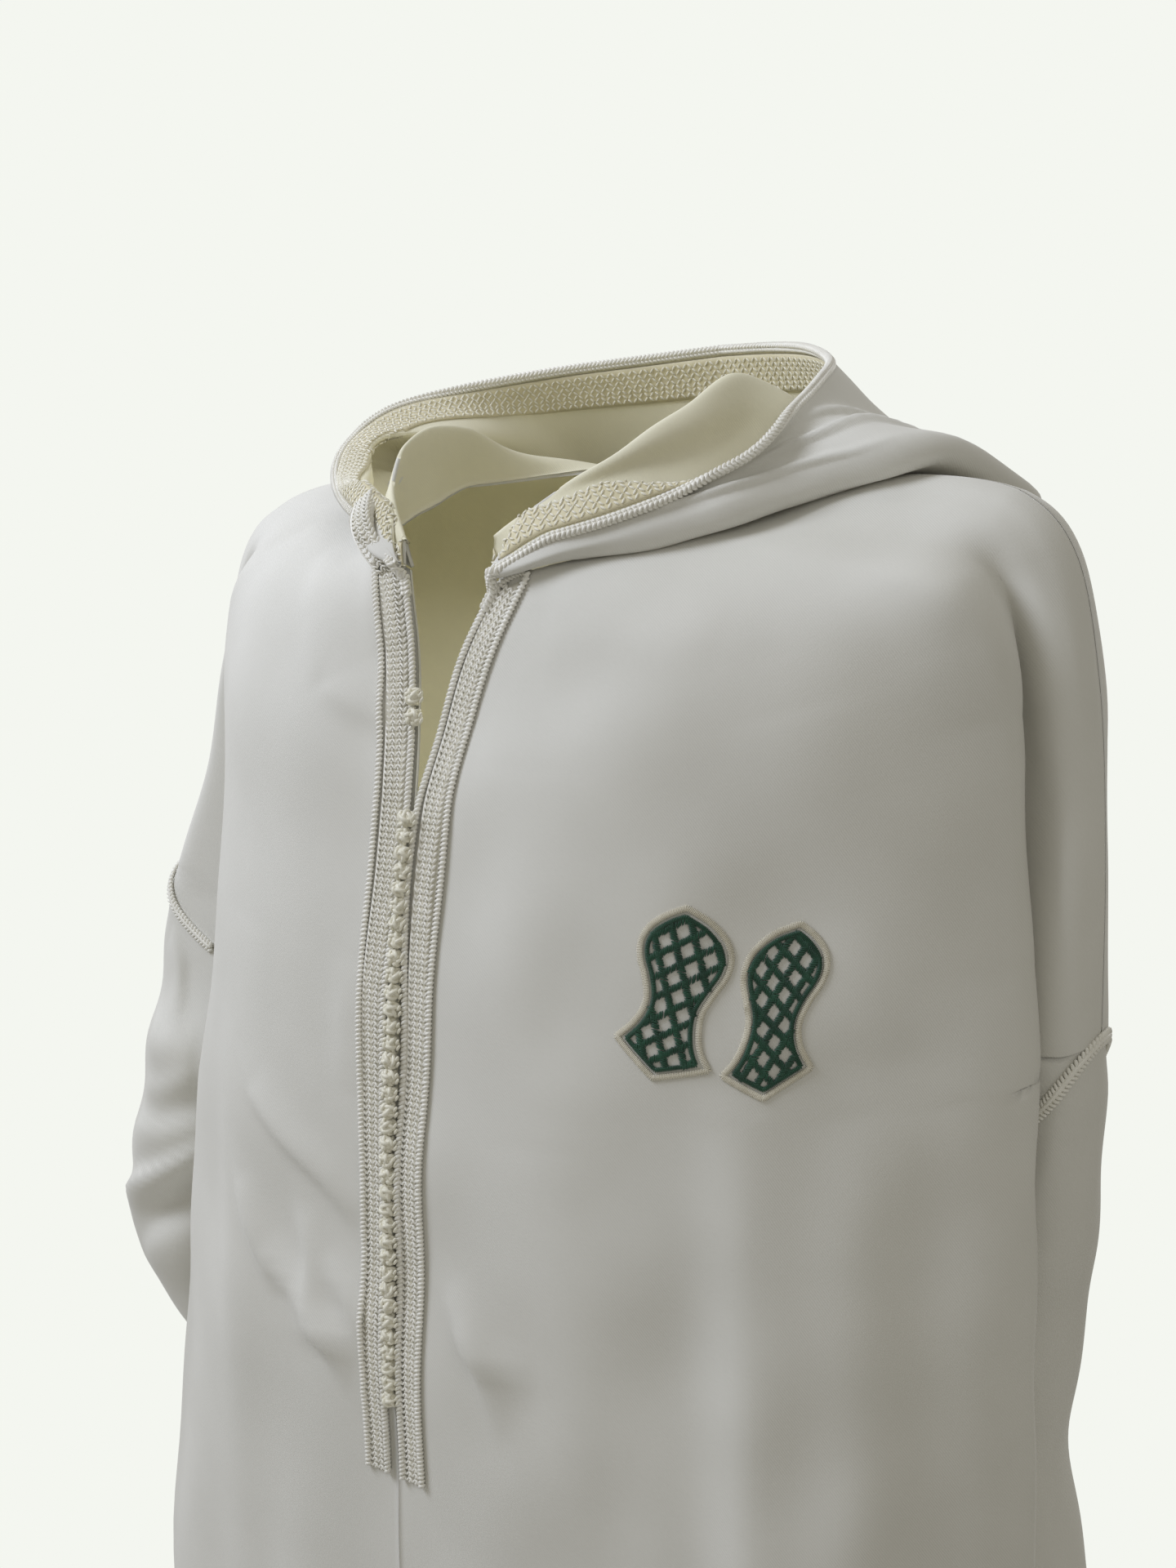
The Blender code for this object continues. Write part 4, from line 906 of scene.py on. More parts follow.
# Half sizes of each stitch: along, across and out of the cloth
INNER_STITCH = (0.0020, 0.00100, 0.0018)
OUTER_STITCH = (0.0019, 0.00088, 0.0016)
CHEVRON_STITCH = (0.00150, 0.00056, 0.0009)
LINE_STITCH = (0.00085, 0.00045, 0.0008)
LOOP_STITCH = (0.0017, 0.0007, 0.0008)
BRAID_STITCH = (0.0020, 0.00090, 0.0012)
PLAIT_STITCH = (0.0019, 0.00085, 0.0011)
BAND_STITCH = (0.00150, 0.00055, 0.0005)
GREEN_STITCH = (0.00115, 0.0004, 0.0008)
TRIM_TOP_ROW = {1: 0.22, -1: 0.14}


def bead(rings, sides):
    """A rounded stitch of unit size, long in x: its points and triangles."""
    points = [(1.0, 0.0, 0.0)]
    for ring in range(1, rings):
        polar = math.pi * ring / rings
        for turn in range(sides):
            angle = 2 * math.pi * turn / sides
            wide = math.sin(polar)
            points.append((math.cos(polar), wide * math.cos(angle), wide * math.sin(angle)))
    points.append((-1.0, 0.0, 0.0))
    faces = []
    last = len(points) - 1
    for turn in range(sides):
        after = (turn + 1) % sides
        faces.append((0, 1 + turn, 1 + after))
        for ring in range(rings - 2):
            a = 1 + ring * sides
            faces.append((a + turn, a + sides + turn, a + sides + after))
            faces.append((a + turn, a + sides + after, a + after))
        end = 1 + (rings - 2) * sides
        faces.append((last, end + after, end + turn))
    return np.array(points), np.array(faces)


BEAD = bead(5, 6)
SMALL_BEAD = bead(4, 5)


def stitches(centres, along, across, out, half, template=SMALL_BEAD):
    """Rounded stitches at many places in one mesh part; half holds their three half sizes."""
    points, faces = template
    along, across, out = (unit(np.broadcast_to(axis, centres.shape)) for axis in (along, across, out))
    spots = (centres[:, None] + points[None, :, :1] * (along * half[0])[:, None]
             + points[None, :, 1:2] * (across * half[1])[:, None]
             + points[None, :, 2:] * (out * half[2])[:, None])
    shift = np.arange(len(centres))[:, None, None] * len(points)
    return spots.reshape(-1, 3), (faces[None] + shift).reshape(-1, 3)


def even_path(path, out, pitch):
    """Places at an even distance along a path: points, tangents, outward and sideways directions."""
    steps = np.linalg.norm(np.diff(path, axis=0), axis=1)
    length = np.concatenate(((0,), np.cumsum(steps)))
    count = max(int(length[-1] / pitch), 2)
    at = (np.arange(count) + 0.5) / count * length[-1]
    spots = np.stack([np.interp(at, length, path[:, i]) for i in range(3)], -1)
    normal = unit(np.stack([np.interp(at, length, out[:, i]) for i in range(3)], -1))
    tangent = unit(np.gradient(spots, axis=0))
    side = unit(np.cross(tangent, normal))
    return spots, tangent, unit(np.cross(side, tangent)), side


def tube_part(path, radius, sides, closed=False):
    """Points and triangles of a tube along a path."""
    along = unit(np.roll(path, -1, 0) - np.roll(path, 1, 0)) if closed else unit(np.gradient(path, axis=0))
    first = np.cross(along, np.array((0.3, 0.2, 0.9)))
    first = unit(first)
    for index in range(1, len(first)):
        first[index] = unit(first[index - 1] - along[index] * (first[index - 1] @ along[index]))
    second = np.cross(along, first)
    angle = np.arange(sides) * 2 * math.pi / sides
    ring = np.cos(angle)[None, :, None] * first[:, None] + np.sin(angle)[None, :, None] * second[:, None]
    points = (path[:, None] + ring * radius).reshape(-1, 3)
    count = len(path)
    faces = []
    for i in range(count if closed else count - 1):
        k = (i + 1) % count
        for j in range(sides):
            m = (j + 1) % sides
            faces.append((i * sides + j, i * sides + m, k * sides + m))
            faces.append((i * sides + j, k * sides + m, k * sides + j))
    if not closed:
        for j in range(1, sides - 1):
            faces.append((0, j + 1, j))
            end = (count - 1) * sides
            faces.append((end, end + j, end + j + 1))
    return points, np.array(faces)


def strip_part(low, high):
    """Points and triangles of a thin closed strip between two grids."""
    rows, cols = low.shape[:2]
    count = rows * cols
    faces = []
    for i in range(rows - 1):
        for j in range(cols - 1):
            a, b, c, d = i * cols + j, (i + 1) * cols + j, (i + 1) * cols + j + 1, i * cols + j + 1
            faces += [(a, b, c), (a, c, d)]
            faces += [(a + count, c + count, b + count), (a + count, d + count, c + count)]
    edge = list(range(cols))
    edge += [i * cols + cols - 1 for i in range(1, rows)]
    edge += [(rows - 1) * cols + j for j in range(cols - 2, -1, -1)]
    edge += [i * cols for i in range(rows - 2, 0, -1)]
    for a, b in zip(edge, edge[1:] + edge[:1]):
        faces += [(a, b, b + count), (a, b + count, a + count)]
    return np.concatenate((high.reshape(-1, 3), low.reshape(-1, 3))), np.array(faces)


def trim_piece(name, parts, finishes, nodes):
    """One piece from mesh parts, each with the number of its finish, that stands for some nodes."""
    points, faces, slots = [], [], []
    start = 0
    for (part_points, part_faces), finish in parts:
        points.append(part_points)
        faces.append(part_faces + start)
        slots.append(np.full(len(part_faces), finish))
        start += len(part_points)
    mesh = bpy.data.meshes.new(name)
    mesh.from_pydata(np.concatenate(points).tolist(), [], np.concatenate(faces).tolist())
    for finish in finishes:
        mesh.materials.append(finish)
    mesh.polygons.foreach_set("material_index", np.concatenate(slots))
    mesh.shade_smooth()
    piece = bpy.data.objects.new(name, mesh)
    bpy.context.scene.collection.objects.link(piece)
    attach(piece, "root")
    if nodes:
        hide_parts(*nodes)
    return piece


def trim_place(across, row):
    """The bands draw in towards their lower end, and at the throat their inner cords lie on the edge."""
    narrowed = across * (1 - TRIM_NARROWING * ease((row - 3.0) / 5.0))
    inner = (OUTER_CORD_AT - across) / (OUTER_CORD_AT - INNER_CORD_AT)
    return narrowed - THROAT_SHIFT * inner * ease((5.2 - row) / 1.4)


def edge_frame(side, across, lift, count=110):
    """A path on a front at a distance from its front edge, with the outward normals."""
    row = np.linspace(TRIM_TOP_ROW[side], BAND_END_ROW, count)
    across = trim_place(across, row)
    points, out = lifted_front(side, across / edge_pace(side, row), row)
    return points + out * lift, out


def rope_parts(path, out, pitch, half, slant, columns_at):
    """Slanted stitches in columns along a cord."""
    spots, tangent, normal, side = even_path(path, out, pitch)
    lean = math.radians(slant)
    parts = []
    for place, way in columns_at:
        centres = spots + side * place + tangent * (pitch / 2 if way < 0 else 0)
        along = side * math.cos(lean) + tangent * math.sin(lean) * way
        across = tangent * math.cos(lean) - side * math.sin(lean) * way
        parts.append((stitches(centres, along, across, normal, half), 0))
    return parts


def front_trims(finishes, hood):
    for name, side in (("left", 1), ("right", -1)):
        path, out = edge_frame(side, INNER_CORD_AT, CORD_RADIUS)
        parts = rope_parts(path, out, ROPE_PITCH, INNER_STITCH, 40, ((0.0, 1),))
        parts.append((tube_part(path - out * 0.0003, 0.0011, 6), 0))
        trim_piece(f"cord_inner_{name}_rope", parts, finishes, (f"cord_inner_{name}",))
        path, out = edge_frame(side, OUTER_CORD_AT, CORD_RADIUS * 0.8)
        if side > 0:
            path, out = with_round_end(path, out)
        parts = rope_parts(path, out, ROPE_PITCH, OUTER_STITCH, 26, ((0.0, 1),))
        parts.append((tube_part(path - out * 0.0002, 0.0010, 6), 0))
        trim_piece(f"cord_outer_{name}_rope", parts, finishes, (f"cord_outer_{name}",))
        front_band_piece(name, side, finishes, hood)


def with_round_end(path, out):
    """The left front's outer cord with the bend that closes the top of its band."""
    inner, _ = edge_frame(1, INNER_CORD_AT, CORD_RADIUS * 0.8)
    to_inner = inner[0] - path[0]
    up = unit(path[0] - path[1])
    turn = np.linspace(math.pi, 0.15, 14)[:-1, None]
    bend = path[0] + to_inner * (1 - np.cos(turn)) / 2 + up * 0.0045 * np.sin(turn)
    return np.concatenate((bend, path)), np.concatenate((np.repeat(out[:1], len(bend), 0), out))


def band_path(side, across, hood):
    """A line along a front's band; the right one runs on into the hood's band."""
    path, out = edge_frame(side, across, SEAM)
    if side > 0:
        return path, out
    points, hood_out = hood
    share = (across - BAND_FROM) / (BAND_TO - BAND_FROM)
    part = int(round(len(points) * (BRIDGE_PARTS[0] + (BRIDGE_PARTS[1] - BRIDGE_PARTS[0]) * share))) - 1
    start, start_out = points[part, -BRIDGE_COLUMN], -hood_out[part, -BRIDGE_COLUMN]
    mix = ease(np.linspace(0, 1, 12))[:-1, None]
    bridge_out = unit(start_out * (1 - mix) + out[0] * mix)
    bridge = start * (1 - mix) + path[0] * mix
    bridge = bridge + bridge_out * 0.0012 + BRIDGE_WAY * BRIDGE_BULGE * np.sin(math.pi * mix)
    return np.concatenate((bridge, path)), np.concatenate((bridge_out, out))


def front_band_piece(name, side, finishes, hood):
    """The woven band: a thin ground with three columns of chevron stitches and two raised lines."""
    middle = (BAND_FROM + BAND_TO) / 2
    lows, highs = [], []
    for across in np.linspace(BAND_FROM, BAND_TO, 5):
        path, out = band_path(side, across, hood)
        lows.append(path)
        highs.append(path + out * GROUND_THICK)
    parts = [(strip_part(np.stack(lows, 1), np.stack(highs, 1)), 1)]
    path, out = band_path(side, middle, hood)
    path = path + out * 0.0009
    spots, tangent, normal, across = even_path(path, out, CHEVRON_PITCH)
    lean = math.radians(CHEVRON_SLANT)
    for column in CHEVRON_COLUMNS:
        for way in (-1, 1):
            centres = spots + across * (column + way * CHEVRON_HALF_GAP)
            along = across * math.cos(lean) * way - tangent * math.sin(lean)
            wide = tangent * math.cos(lean) + across * math.sin(lean) * way
            parts.append((stitches(centres, along, wide, normal, CHEVRON_STITCH), 0))
    for column in LINE_COLUMNS:
        centres = spots + across * column + tangent * 0.0010
        parts.append((stitches(centres, tangent, across, normal, LINE_STITCH), 0))
    parts.append((tube_part(spots + across * LINE_AT, 0.00050, 5), 0))
    trim_piece(f"band_{name}_woven", parts, finishes, (f"band_{name}",))


def knot_parts(centre, chance):
    """A ball knot woven from one strand that goes three times round."""
    t = np.linspace(0, 2 * math.pi, 76)[:-1]
    lon = 3 * t
    lat = 0.98 * np.cos(5 * t)
    radius = WOVEN_KNOT_RADIUS - KNOT_STRAND * (KNOT_CORE - 0.45 * np.sin(10 * t))
    ball = np.stack((np.cos(lat) * np.cos(lon), np.cos(lat) * np.sin(lon), np.sin(lat)), -1)
    tilt, spin = chance.uniform(0.5, 1.5), chance.uniform(0, 2 * math.pi)
    x, y, z = (ball * radius[:, None]).T
    y, z = y * math.cos(tilt) - z * math.sin(tilt), y * math.sin(tilt) + z * math.cos(tilt)
    x, z = x * math.cos(spin) + z * math.sin(spin), -x * math.sin(spin) + z * math.cos(spin)
    points = np.stack((x, y, z), -1) + centre
    core_points, core_faces = bead(6, 8)
    core = core_points * (WOVEN_KNOT_RADIUS - KNOT_STRAND * KNOT_CORE) + centre
    return [(tube_part(points, KNOT_STRAND, 5, closed=True), 0), ((core, core_faces), 0)]


def knot_pieces(finishes):
    chance = np.random.default_rng(KNOT_SEED)
    heights = [KNOT_TOP_Z - index * KNOT_PITCH for index in range(KNOT_ROW)]
    places = [throat_knot_place(height) for height in THROAT_KNOTS_Z]
    places += [row_knot_place(height) for height in heights]
    for index, place in enumerate(places):
        name = f"knot_{index + 1:02d}"
        parts = knot_parts(place, chance)
        loops = place + np.array(((0.0040, -0.0006, 0.0012), (0.0043, -0.0004, -0.0012)))
        lean = np.array((0.55, 0.0, 0.83))
        parts.append((stitches(loops, lean, np.array((0.83, 0, -0.55)), np.array((0, -1.0, 0)),
                               LOOP_STITCH, BEAD), 0))
        trim_piece(name + "_woven", parts, finishes, (name,))


def armhole_pieces(finishes):
    for name, side in (("left", 1), ("right", -1)):
        turn = np.linspace(-BRAID_STEPS, BRAID_STEPS, 80) / (2 * ARMHOLE_STEPS)
        path, out = armhole_loop(side, turn)
        path = path + out * BRAID_RADIUS * 0.7
        parts = rope_parts(path, out, 0.0020, BRAID_STITCH, 30, ((-0.0015, 1), (0.0015, -1)))
        parts.append((tube_part(path, 0.0012, 6), 0))
        trim_piece(f"braid_{name}_plait", parts, finishes, (f"braid_{name}",))


def hood_trims(points, out, finishes, band_finishes):
    """The plaited cord on the hood's edge and the woven band inside it."""
    away = unit(points[-1] - points[-3])
    left, left_out = edge_frame(1, INNER_CORD_AT, CORD_RADIUS, 40)
    right, right_out = edge_frame(-1, INNER_CORD_AT, CORD_RADIUS, 40)
    path = np.concatenate((left[1::-1], (points[-1] + away * 0.0019)[1:-1], right[:2]))
    edge_out = np.concatenate((left_out[1::-1], out[-1][1:-1], right_out[:2]))
    parts = []
    spots, tangent, normal, side = even_path(path, edge_out, PLAIT_PITCH)
    for angle, way in ((35, 1), (145, -1), (215, 1), (325, -1)):
        turn = math.radians(angle)
        lift = side * math.cos(turn) + normal * math.sin(turn)
        wide = -side * math.sin(turn) + normal * math.cos(turn)
        along = wide * 0.72 + tangent * 0.69 * way
        across = tangent * 0.72 - wide * 0.69 * way
        parts.append((stitches(spots + lift * 0.0014, along, across, lift, PLAIT_STITCH), 0))
    parts.append((tube_part(path, 0.0015, 6), 0))
    trim_piece("cord_hood_plait", parts, finishes, ("cord_hood",))
    hood_band_piece(points, out, band_finishes)


def hood_band_piece(points, out, finishes):
    steps = np.linalg.norm(np.diff(points[::-1], axis=0), axis=2)
    length = np.concatenate((np.zeros((1, points.shape[1])), np.cumsum(steps, 0)))
    across_at = np.linspace(HOOD_BAND_START, HOOD_BAND_START + HOOD_BAND_WIDTH, 9)
    inward = -out
    grid = np.zeros((len(across_at), points.shape[1], 3))
    normal = np.zeros_like(grid)
    for column in range(points.shape[1]):
        for axis in range(3):
            grid[:, column, axis] = np.interp(across_at, length[:, column], points[::-1, column, axis])
            normal[:, column, axis] = np.interp(across_at, length[:, column], inward[::-1, column, axis])
    normal = unit(normal)
    low = grid + normal * (WALL / 2 + 0.0002)
    parts = [(strip_part(low, low + normal * GROUND_THICK), 1)]
    for row in range(1, 8):
        path = low[row] + normal[row] * 0.0008
        spots, tangent, lift, side = even_path(path, normal[row], BAND_STITCH_PITCH)
        way = np.where((np.arange(len(spots)) + row) % 2, 1.0, -1.0)[:, None]
        along = tangent * 0.64 + side * 0.77 * way
        across = side * 0.64 - tangent * 0.77 * way
        parts.append((stitches(spots, along, across, lift, BAND_STITCH), 0))
    trim_piece("band_hood_woven", parts, finishes, ("band_hood",))


# Embroidered soles: the widths of their rows of stitches
SATIN_PITCH = 0.00062
CREAM_WIDTH = 0.0026
GREEN_AT = 0.0044
BAR_SPACING = 0.0074
BAR_STITCH = 0.00185
# The sole's outline: across in metres and up as a share of its length, round the loop
SOLE_OUTLINE = (
    (0.000, 1.000), (-0.0075, 0.945), (-0.0140, 0.865), (-0.0168, 0.770), (-0.0160, 0.670), (-0.0128, 0.570),
    (-0.0108, 0.470), (-0.0118, 0.385), (-0.0152, 0.305), (-0.0215, 0.215), (-0.0126, 0.115), (-0.0020, 0.0),
    (0.0095, 0.048), (0.0212, 0.102), (0.0162, 0.205), (0.0142, 0.310), (0.0142, 0.415), (0.0172, 0.520),
    (0.0205, 0.620), (0.0212, 0.725), (0.0182, 0.825), (0.0108, 0.925),
)
SOLE_CORNERS = (0, 9, 11, 13)


def sole_loop():
    """The closed outline of a sole in metres, smooth between its four corners."""
    points = np.array(SOLE_OUTLINE) * np.array((1.0, SOLE_LENGTH))
    loop = []
    for first, last in zip(SOLE_CORNERS, SOLE_CORNERS[1:] + (len(points),)):
        part = np.concatenate((points[first:last], points[last % len(points)][None]))
        stops = np.arange(len(part), dtype=float)
        place = np.linspace(0, stops[-1], 14 * len(part))
        loop.append(np.stack([through(stops, part[:, i], place) for i in range(2)], -1)[:-1])
    return np.concatenate(loop)


def inset(loop, distance):
    """The outline moved inward, without the points that come too near to another stretch."""
    step = np.roll(loop, -1, 0) - np.roll(loop, 1, 0)
    normal = np.stack((-step[:, 1], step[:, 0]), -1)
    normal = normal / np.linalg.norm(normal, axis=1, keepdims=True)
    moved = loop + normal * distance
    if area_of(moved) > area_of(loop):
        moved = loop - normal * distance
    gap = np.min(np.linalg.norm(moved[:, None] - loop[None], axis=2), axis=1)
    return moved[gap > distance * 0.97]


def area_of(loop):
    x, y = loop.T
    return abs(np.sum(x * np.roll(y, -1) - y * np.roll(x, -1))) / 2


def inside(points, loop):
    """Whether points of a plane lie inside a closed outline."""
    x, y = points.T
    found = np.zeros(len(points), bool)
    for (ax, ay), (bx, by) in zip(loop, np.roll(loop, -1, 0)):
        crosses = (ay > y) != (by > y)
        at = ax + (y - ay) / (by - ay if by != ay else 1e-12) * (bx - ax)
        found ^= crosses & (x < at)
    return found


def even_loop(loop, pitch):
    closed = np.concatenate((loop, loop[:1]))
    length = np.concatenate(((0,), np.cumsum(np.linalg.norm(np.diff(closed, axis=0), axis=1))))
    at = np.arange(0, length[-1], pitch)
    spots = np.stack([np.interp(at, length, closed[:, i]) for i in range(2)], -1)
    tangent = np.roll(spots, -1, 0) - np.roll(spots, 1, 0)
    return spots, tangent / np.linalg.norm(tangent, axis=1, keepdims=True)


def sole_map(heel_x, heel_z, tilt, share, hand):
    """A function that takes points of the sole's plane to the left front, with the outward normals there."""
    across = np.linspace(-0.027, 0.027, 15)
    up = np.linspace(-0.004, SOLE_LENGTH + 0.004, 25)
    lean = math.radians(tilt)
    u, v = np.meshgrid(across * hand * share, up)
    x = heel_x + u * math.cos(lean) + v * math.sin(lean)
    z = heel_z - u * math.sin(lean) + v * math.cos(lean)
    around, row = front_place(x, z)
    points, out = lifted_front(1, around, row)

    def place(plane):
        i = np.clip((plane[:, 1] - up[0]) / (up[1] - up[0]), 0, len(up) - 1.001)
        j = np.clip((plane[:, 0] - across[0]) / (across[1] - across[0]), 0, len(across) - 1.001)
        a, b = i.astype(int), j.astype(int)
        s, t = (i - a)[:, None], (j - b)[:, None]

        def mix(grid):
            return ((1 - s) * (1 - t) * grid[a, b] + s * (1 - t) * grid[a + 1, b]
                    + (1 - s) * t * grid[a, b + 1] + s * t * grid[a + 1, b + 1])

        return mix(points), unit(mix(out))

    return place


def satin(place, spots, direction, half, lift):
    """Satin stitches at points of the plane, each lying along a direction of the plane."""
    centre, out = place(spots)
    ahead = place(spots + direction * 0.0005)[0]
    along = unit(ahead - centre)
    return stitches(centre + out * lift, along, np.cross(out, along), out, half)


def sole_bars(outline):
    """Places and directions of the lattice's satin stitches inside an outline."""
    low, high = outline.min(0) - 0.01, outline.max(0) + 0.01
    spots, ways = [], []
    for angle in (math.radians(34), math.radians(113)):
        along = np.array((math.cos(angle), math.sin(angle)))
        across = np.array((-along[1], along[0]))
        centre = (low + high) / 2
        for k in range(-9, 10):
            run = np.arange(-0.055, 0.055, SATIN_PITCH)
            line = centre + across * (k + 0.3) * BAR_SPACING + along * run[:, None]
            line = line[inside(line, outline)]
            spots.append(line)
            ways.append(np.broadcast_to(across * 0.86 + along * 0.5, line.shape))
    return np.concatenate(spots), np.concatenate(ways)


def emblem_pieces(cream, green):
    chance = np.random.default_rng(EMBLEM_SEED)
    for name, values in PATCHES.items():
        place = sole_map(*values)
        loop = sole_loop()
        spots, tangent = even_loop(inset(loop, CREAM_WIDTH / 2), SATIN_PITCH)
        normal = np.stack((-tangent[:, 1], tangent[:, 0]), -1)
        parts = [(satin(place, spots, normal, (CREAM_WIDTH / 2 + 0.0002, 0.0004, 0.00055), 0.0005), 0)]
        spots, tangent = even_loop(inset(loop, GREEN_AT), SATIN_PITCH)
        normal = np.stack((-tangent[:, 1], tangent[:, 0]), -1)
        parts.append((satin(place, spots, normal, GREEN_STITCH, 0.0007), 1))
        spots, ways = sole_bars(inset(loop, GREEN_AT))
        spots = spots + chance.normal(0, 0.00012, spots.shape)
        parts.append((satin(place, spots, ways, (BAR_STITCH, 0.0004, 0.0008), 0.0006), 1))
        trim_piece(name + "_stitched", parts, (cream, green), (name,))


def node_tree(name):
    shade = bpy.data.materials.new(name)
    shade.use_nodes = True
    tree = shade.node_tree
    return shade, tree, tree.nodes["Principled BSDF"]


def noise_node(tree, place, scale, detail=2.0, rough=0.5):
    node = tree.nodes.new("ShaderNodeTexNoise")
    node.inputs["Scale"].default_value = scale
    node.inputs["Detail"].default_value = detail
    node.inputs["Roughness"].default_value = rough
    tree.links.new(place.outputs["Object"], node.inputs["Vector"])
    return node


def ramp_node(tree, source, low, high, start=0.3, end=0.7):
    node = tree.nodes.new("ShaderNodeValToRGB")
    node.color_ramp.elements[0].position = start
    node.color_ramp.elements[0].color = (*low, 1)
    node.color_ramp.elements[1].position = end
    node.color_ramp.elements[1].color = (*high, 1)
    tree.links.new(source, node.inputs["Fac"])
    return node


def wool(name, low, high, sheen):
    """Brushed twill: fine diagonal lines under a short nap, with soft patches of tone."""
    shade, tree, shader = node_tree(name)
    place = tree.nodes.new("ShaderNodeTexCoord")
    patches = noise_node(tree, place, 14, 3.0)
    nap = noise_node(tree, place, 900, 3.0, 0.65)
    colour = ramp_node(tree, patches.outputs["Fac"], low, high)
    tree.links.new(colour.outputs["Color"], shader.inputs["Base Color"])
    twill = tree.nodes.new("ShaderNodeTexWave")
    twill.bands_direction = "DIAGONAL"
    twill.inputs["Scale"].default_value = 420
    twill.inputs["Distortion"].default_value = 1.5
    twill.inputs["Detail"].default_value = 1
    tree.links.new(place.outputs["Object"], twill.inputs["Vector"])
    both = tree.nodes.new("ShaderNodeMath")
    both.operation = "MULTIPLY_ADD"
    both.inputs[1].default_value = 0.5
    tree.links.new(twill.outputs["Fac"], both.inputs[0])
    tree.links.new(nap.outputs["Fac"], both.inputs[2])
    bump = tree.nodes.new("ShaderNodeBump")
    bump.inputs["Strength"].default_value = 0.25
    bump.inputs["Distance"].default_value = 0.0003
    tree.links.new(both.outputs["Value"], bump.inputs["Height"])
    tree.links.new(bump.outputs["Normal"], shader.inputs["Normal"])
    rough = ramp_node(tree, nap.outputs["Fac"], (0.62,) * 3, (0.82,) * 3)
    tree.links.new(rough.outputs["Color"], shader.inputs["Roughness"])
    shader.inputs["Sheen Weight"].default_value = sheen
    shader.inputs["Sheen Roughness"].default_value = 0.4
    shader.inputs["Specular IOR Level"].default_value = 0.35
    return shade


def thread(name, low, high, roughness, scale=700.0, sheen=0.3):
    """Silky thread with fine strands and a little change of tone from stitch to stitch."""
    shade, tree, shader = node_tree(name)
    place = tree.nodes.new("ShaderNodeTexCoord")
    tone = noise_node(tree, place, 160, 2.0)
    strands = noise_node(tree, place, scale, 2.0, 0.6)
    colour = ramp_node(tree, tone.outputs["Fac"], low, high)
    tree.links.new(colour.outputs["Color"], shader.inputs["Base Color"])
    bump = tree.nodes.new("ShaderNodeBump")
    bump.inputs["Strength"].default_value = 0.35
    bump.inputs["Distance"].default_value = 0.0002
    tree.links.new(strands.outputs["Fac"], bump.inputs["Height"])
    tree.links.new(bump.outputs["Normal"], shader.inputs["Normal"])
    shader.inputs["Roughness"].default_value = roughness
    shader.inputs["Sheen Weight"].default_value = sheen
    return shade


# Camera and light
CAMERA_PLACE = (0.6151, -0.7973, 0.0886)
CAMERA_YAW = 37.599
CAMERA_PITCH = 11.959
CAMERA_LENS = 52.894
FLOOR_Z = -1.4105
FLOOR_RADIUS = 1.15
FLOOR_SIDES = 96
AMBIENT_COLOUR = (1.0, 0.96, 0.84, 1)
AMBIENT_STRENGTH = 0.29
BACKDROP_COLOUR = (0.905, 0.922, 0.871, 1)
FLOOR_LOW = (0.86, 0.86, 0.85)
FLOOR_HIGH = (0.90, 0.90, 0.89)

# Lights: name, place, target, size, power, colour
LIGHTS = (
    ("key", (-0.95, -1.25, 1.20), (0.0, -0.05, -0.10), (0.9, 0.9), 24, (0.91, 0.965, 1.11)),
    ("fill", (1.6, -1.3, 0.9), (0.1, 0, -0.25), (1.2, 1.2), 4.5, (0.97, 0.98, 1.02)),
    ("side", (-1.7, 0.3, 0.5), (-0.2, 0, -0.25), (1.2, 1.2), 10, (0.94, 0.97, 1.06)),
    ("top", (0.1, 0.6, 1.6), (0, 0, 0), (1.2, 0.8), 3.5, (0.98, 1.0, 1.04)),
    ("rear", (-0.3, 2.3, 0.2), (0, 0, -0.6), (1.6, 1.6), 9, (1.0, 1.0, 1.0)),
    ("inner", (0.0, 0.01, -0.06), (0, 0.02, -0.5), (0.10, 0.05), 0.22, (0.96, 0.98, 0.98)),
)


def camera():
    data = bpy.data.cameras.new("camera")
    data.sensor_fit = "VERTICAL"
    data.sensor_height = 36
    data.sensor_width = 27
    data.lens = CAMERA_LENS
    data.clip_start = 0.01
    shot = bpy.data.objects.new("camera", data)
    shot.location = CAMERA_PLACE
    shot.rotation_euler = (math.radians(90 - CAMERA_PITCH), 0, math.radians(CAMERA_YAW))
    bpy.context.scene.collection.objects.link(shot)
    bpy.context.scene.camera = shot


def area_light(name, place, target, size, power, colour):
    data = bpy.data.lights.new(name, "AREA")
    data.shape = "RECTANGLE"
    data.size, data.size_y = size
    data.energy = power
    data.color = colour
    lamp = bpy.data.objects.new(name, data)
    lamp.visible_camera = False
    lamp.location = place
    way = Vector(target) - Vector(place)
    lamp.rotation_euler = way.to_track_quat("-Z", "Y").to_euler()
    bpy.context.scene.collection.objects.link(lamp)


def backdrop():
    """A white backdrop for the camera, with softer and warmer light from all round on the cloth."""
    world = bpy.data.worlds.new("world")
    world.use_nodes = True
    tree = world.node_tree
    seen = tree.nodes["Background"]
    seen.inputs["Color"].default_value = BACKDROP_COLOUR
    seen.inputs["Strength"].default_value = 1.0
    around = tree.nodes.new("ShaderNodeBackground")
    around.inputs["Color"].default_value = AMBIENT_COLOUR
    around.inputs["Strength"].default_value = AMBIENT_STRENGTH
    kind = tree.nodes.new("ShaderNodeLightPath")
    both = tree.nodes.new("ShaderNodeMixShader")
    tree.links.new(kind.outputs["Is Camera Ray"], both.inputs["Fac"])
    tree.links.new(around.outputs["Background"], both.inputs[1])
    tree.links.new(seen.outputs["Background"], both.inputs[2])
    tree.links.new(both.outputs["Shader"], tree.nodes["World Output"].inputs["Surface"])
    bpy.context.scene.world = world
    bpy.context.scene.view_settings.view_transform = "Standard"


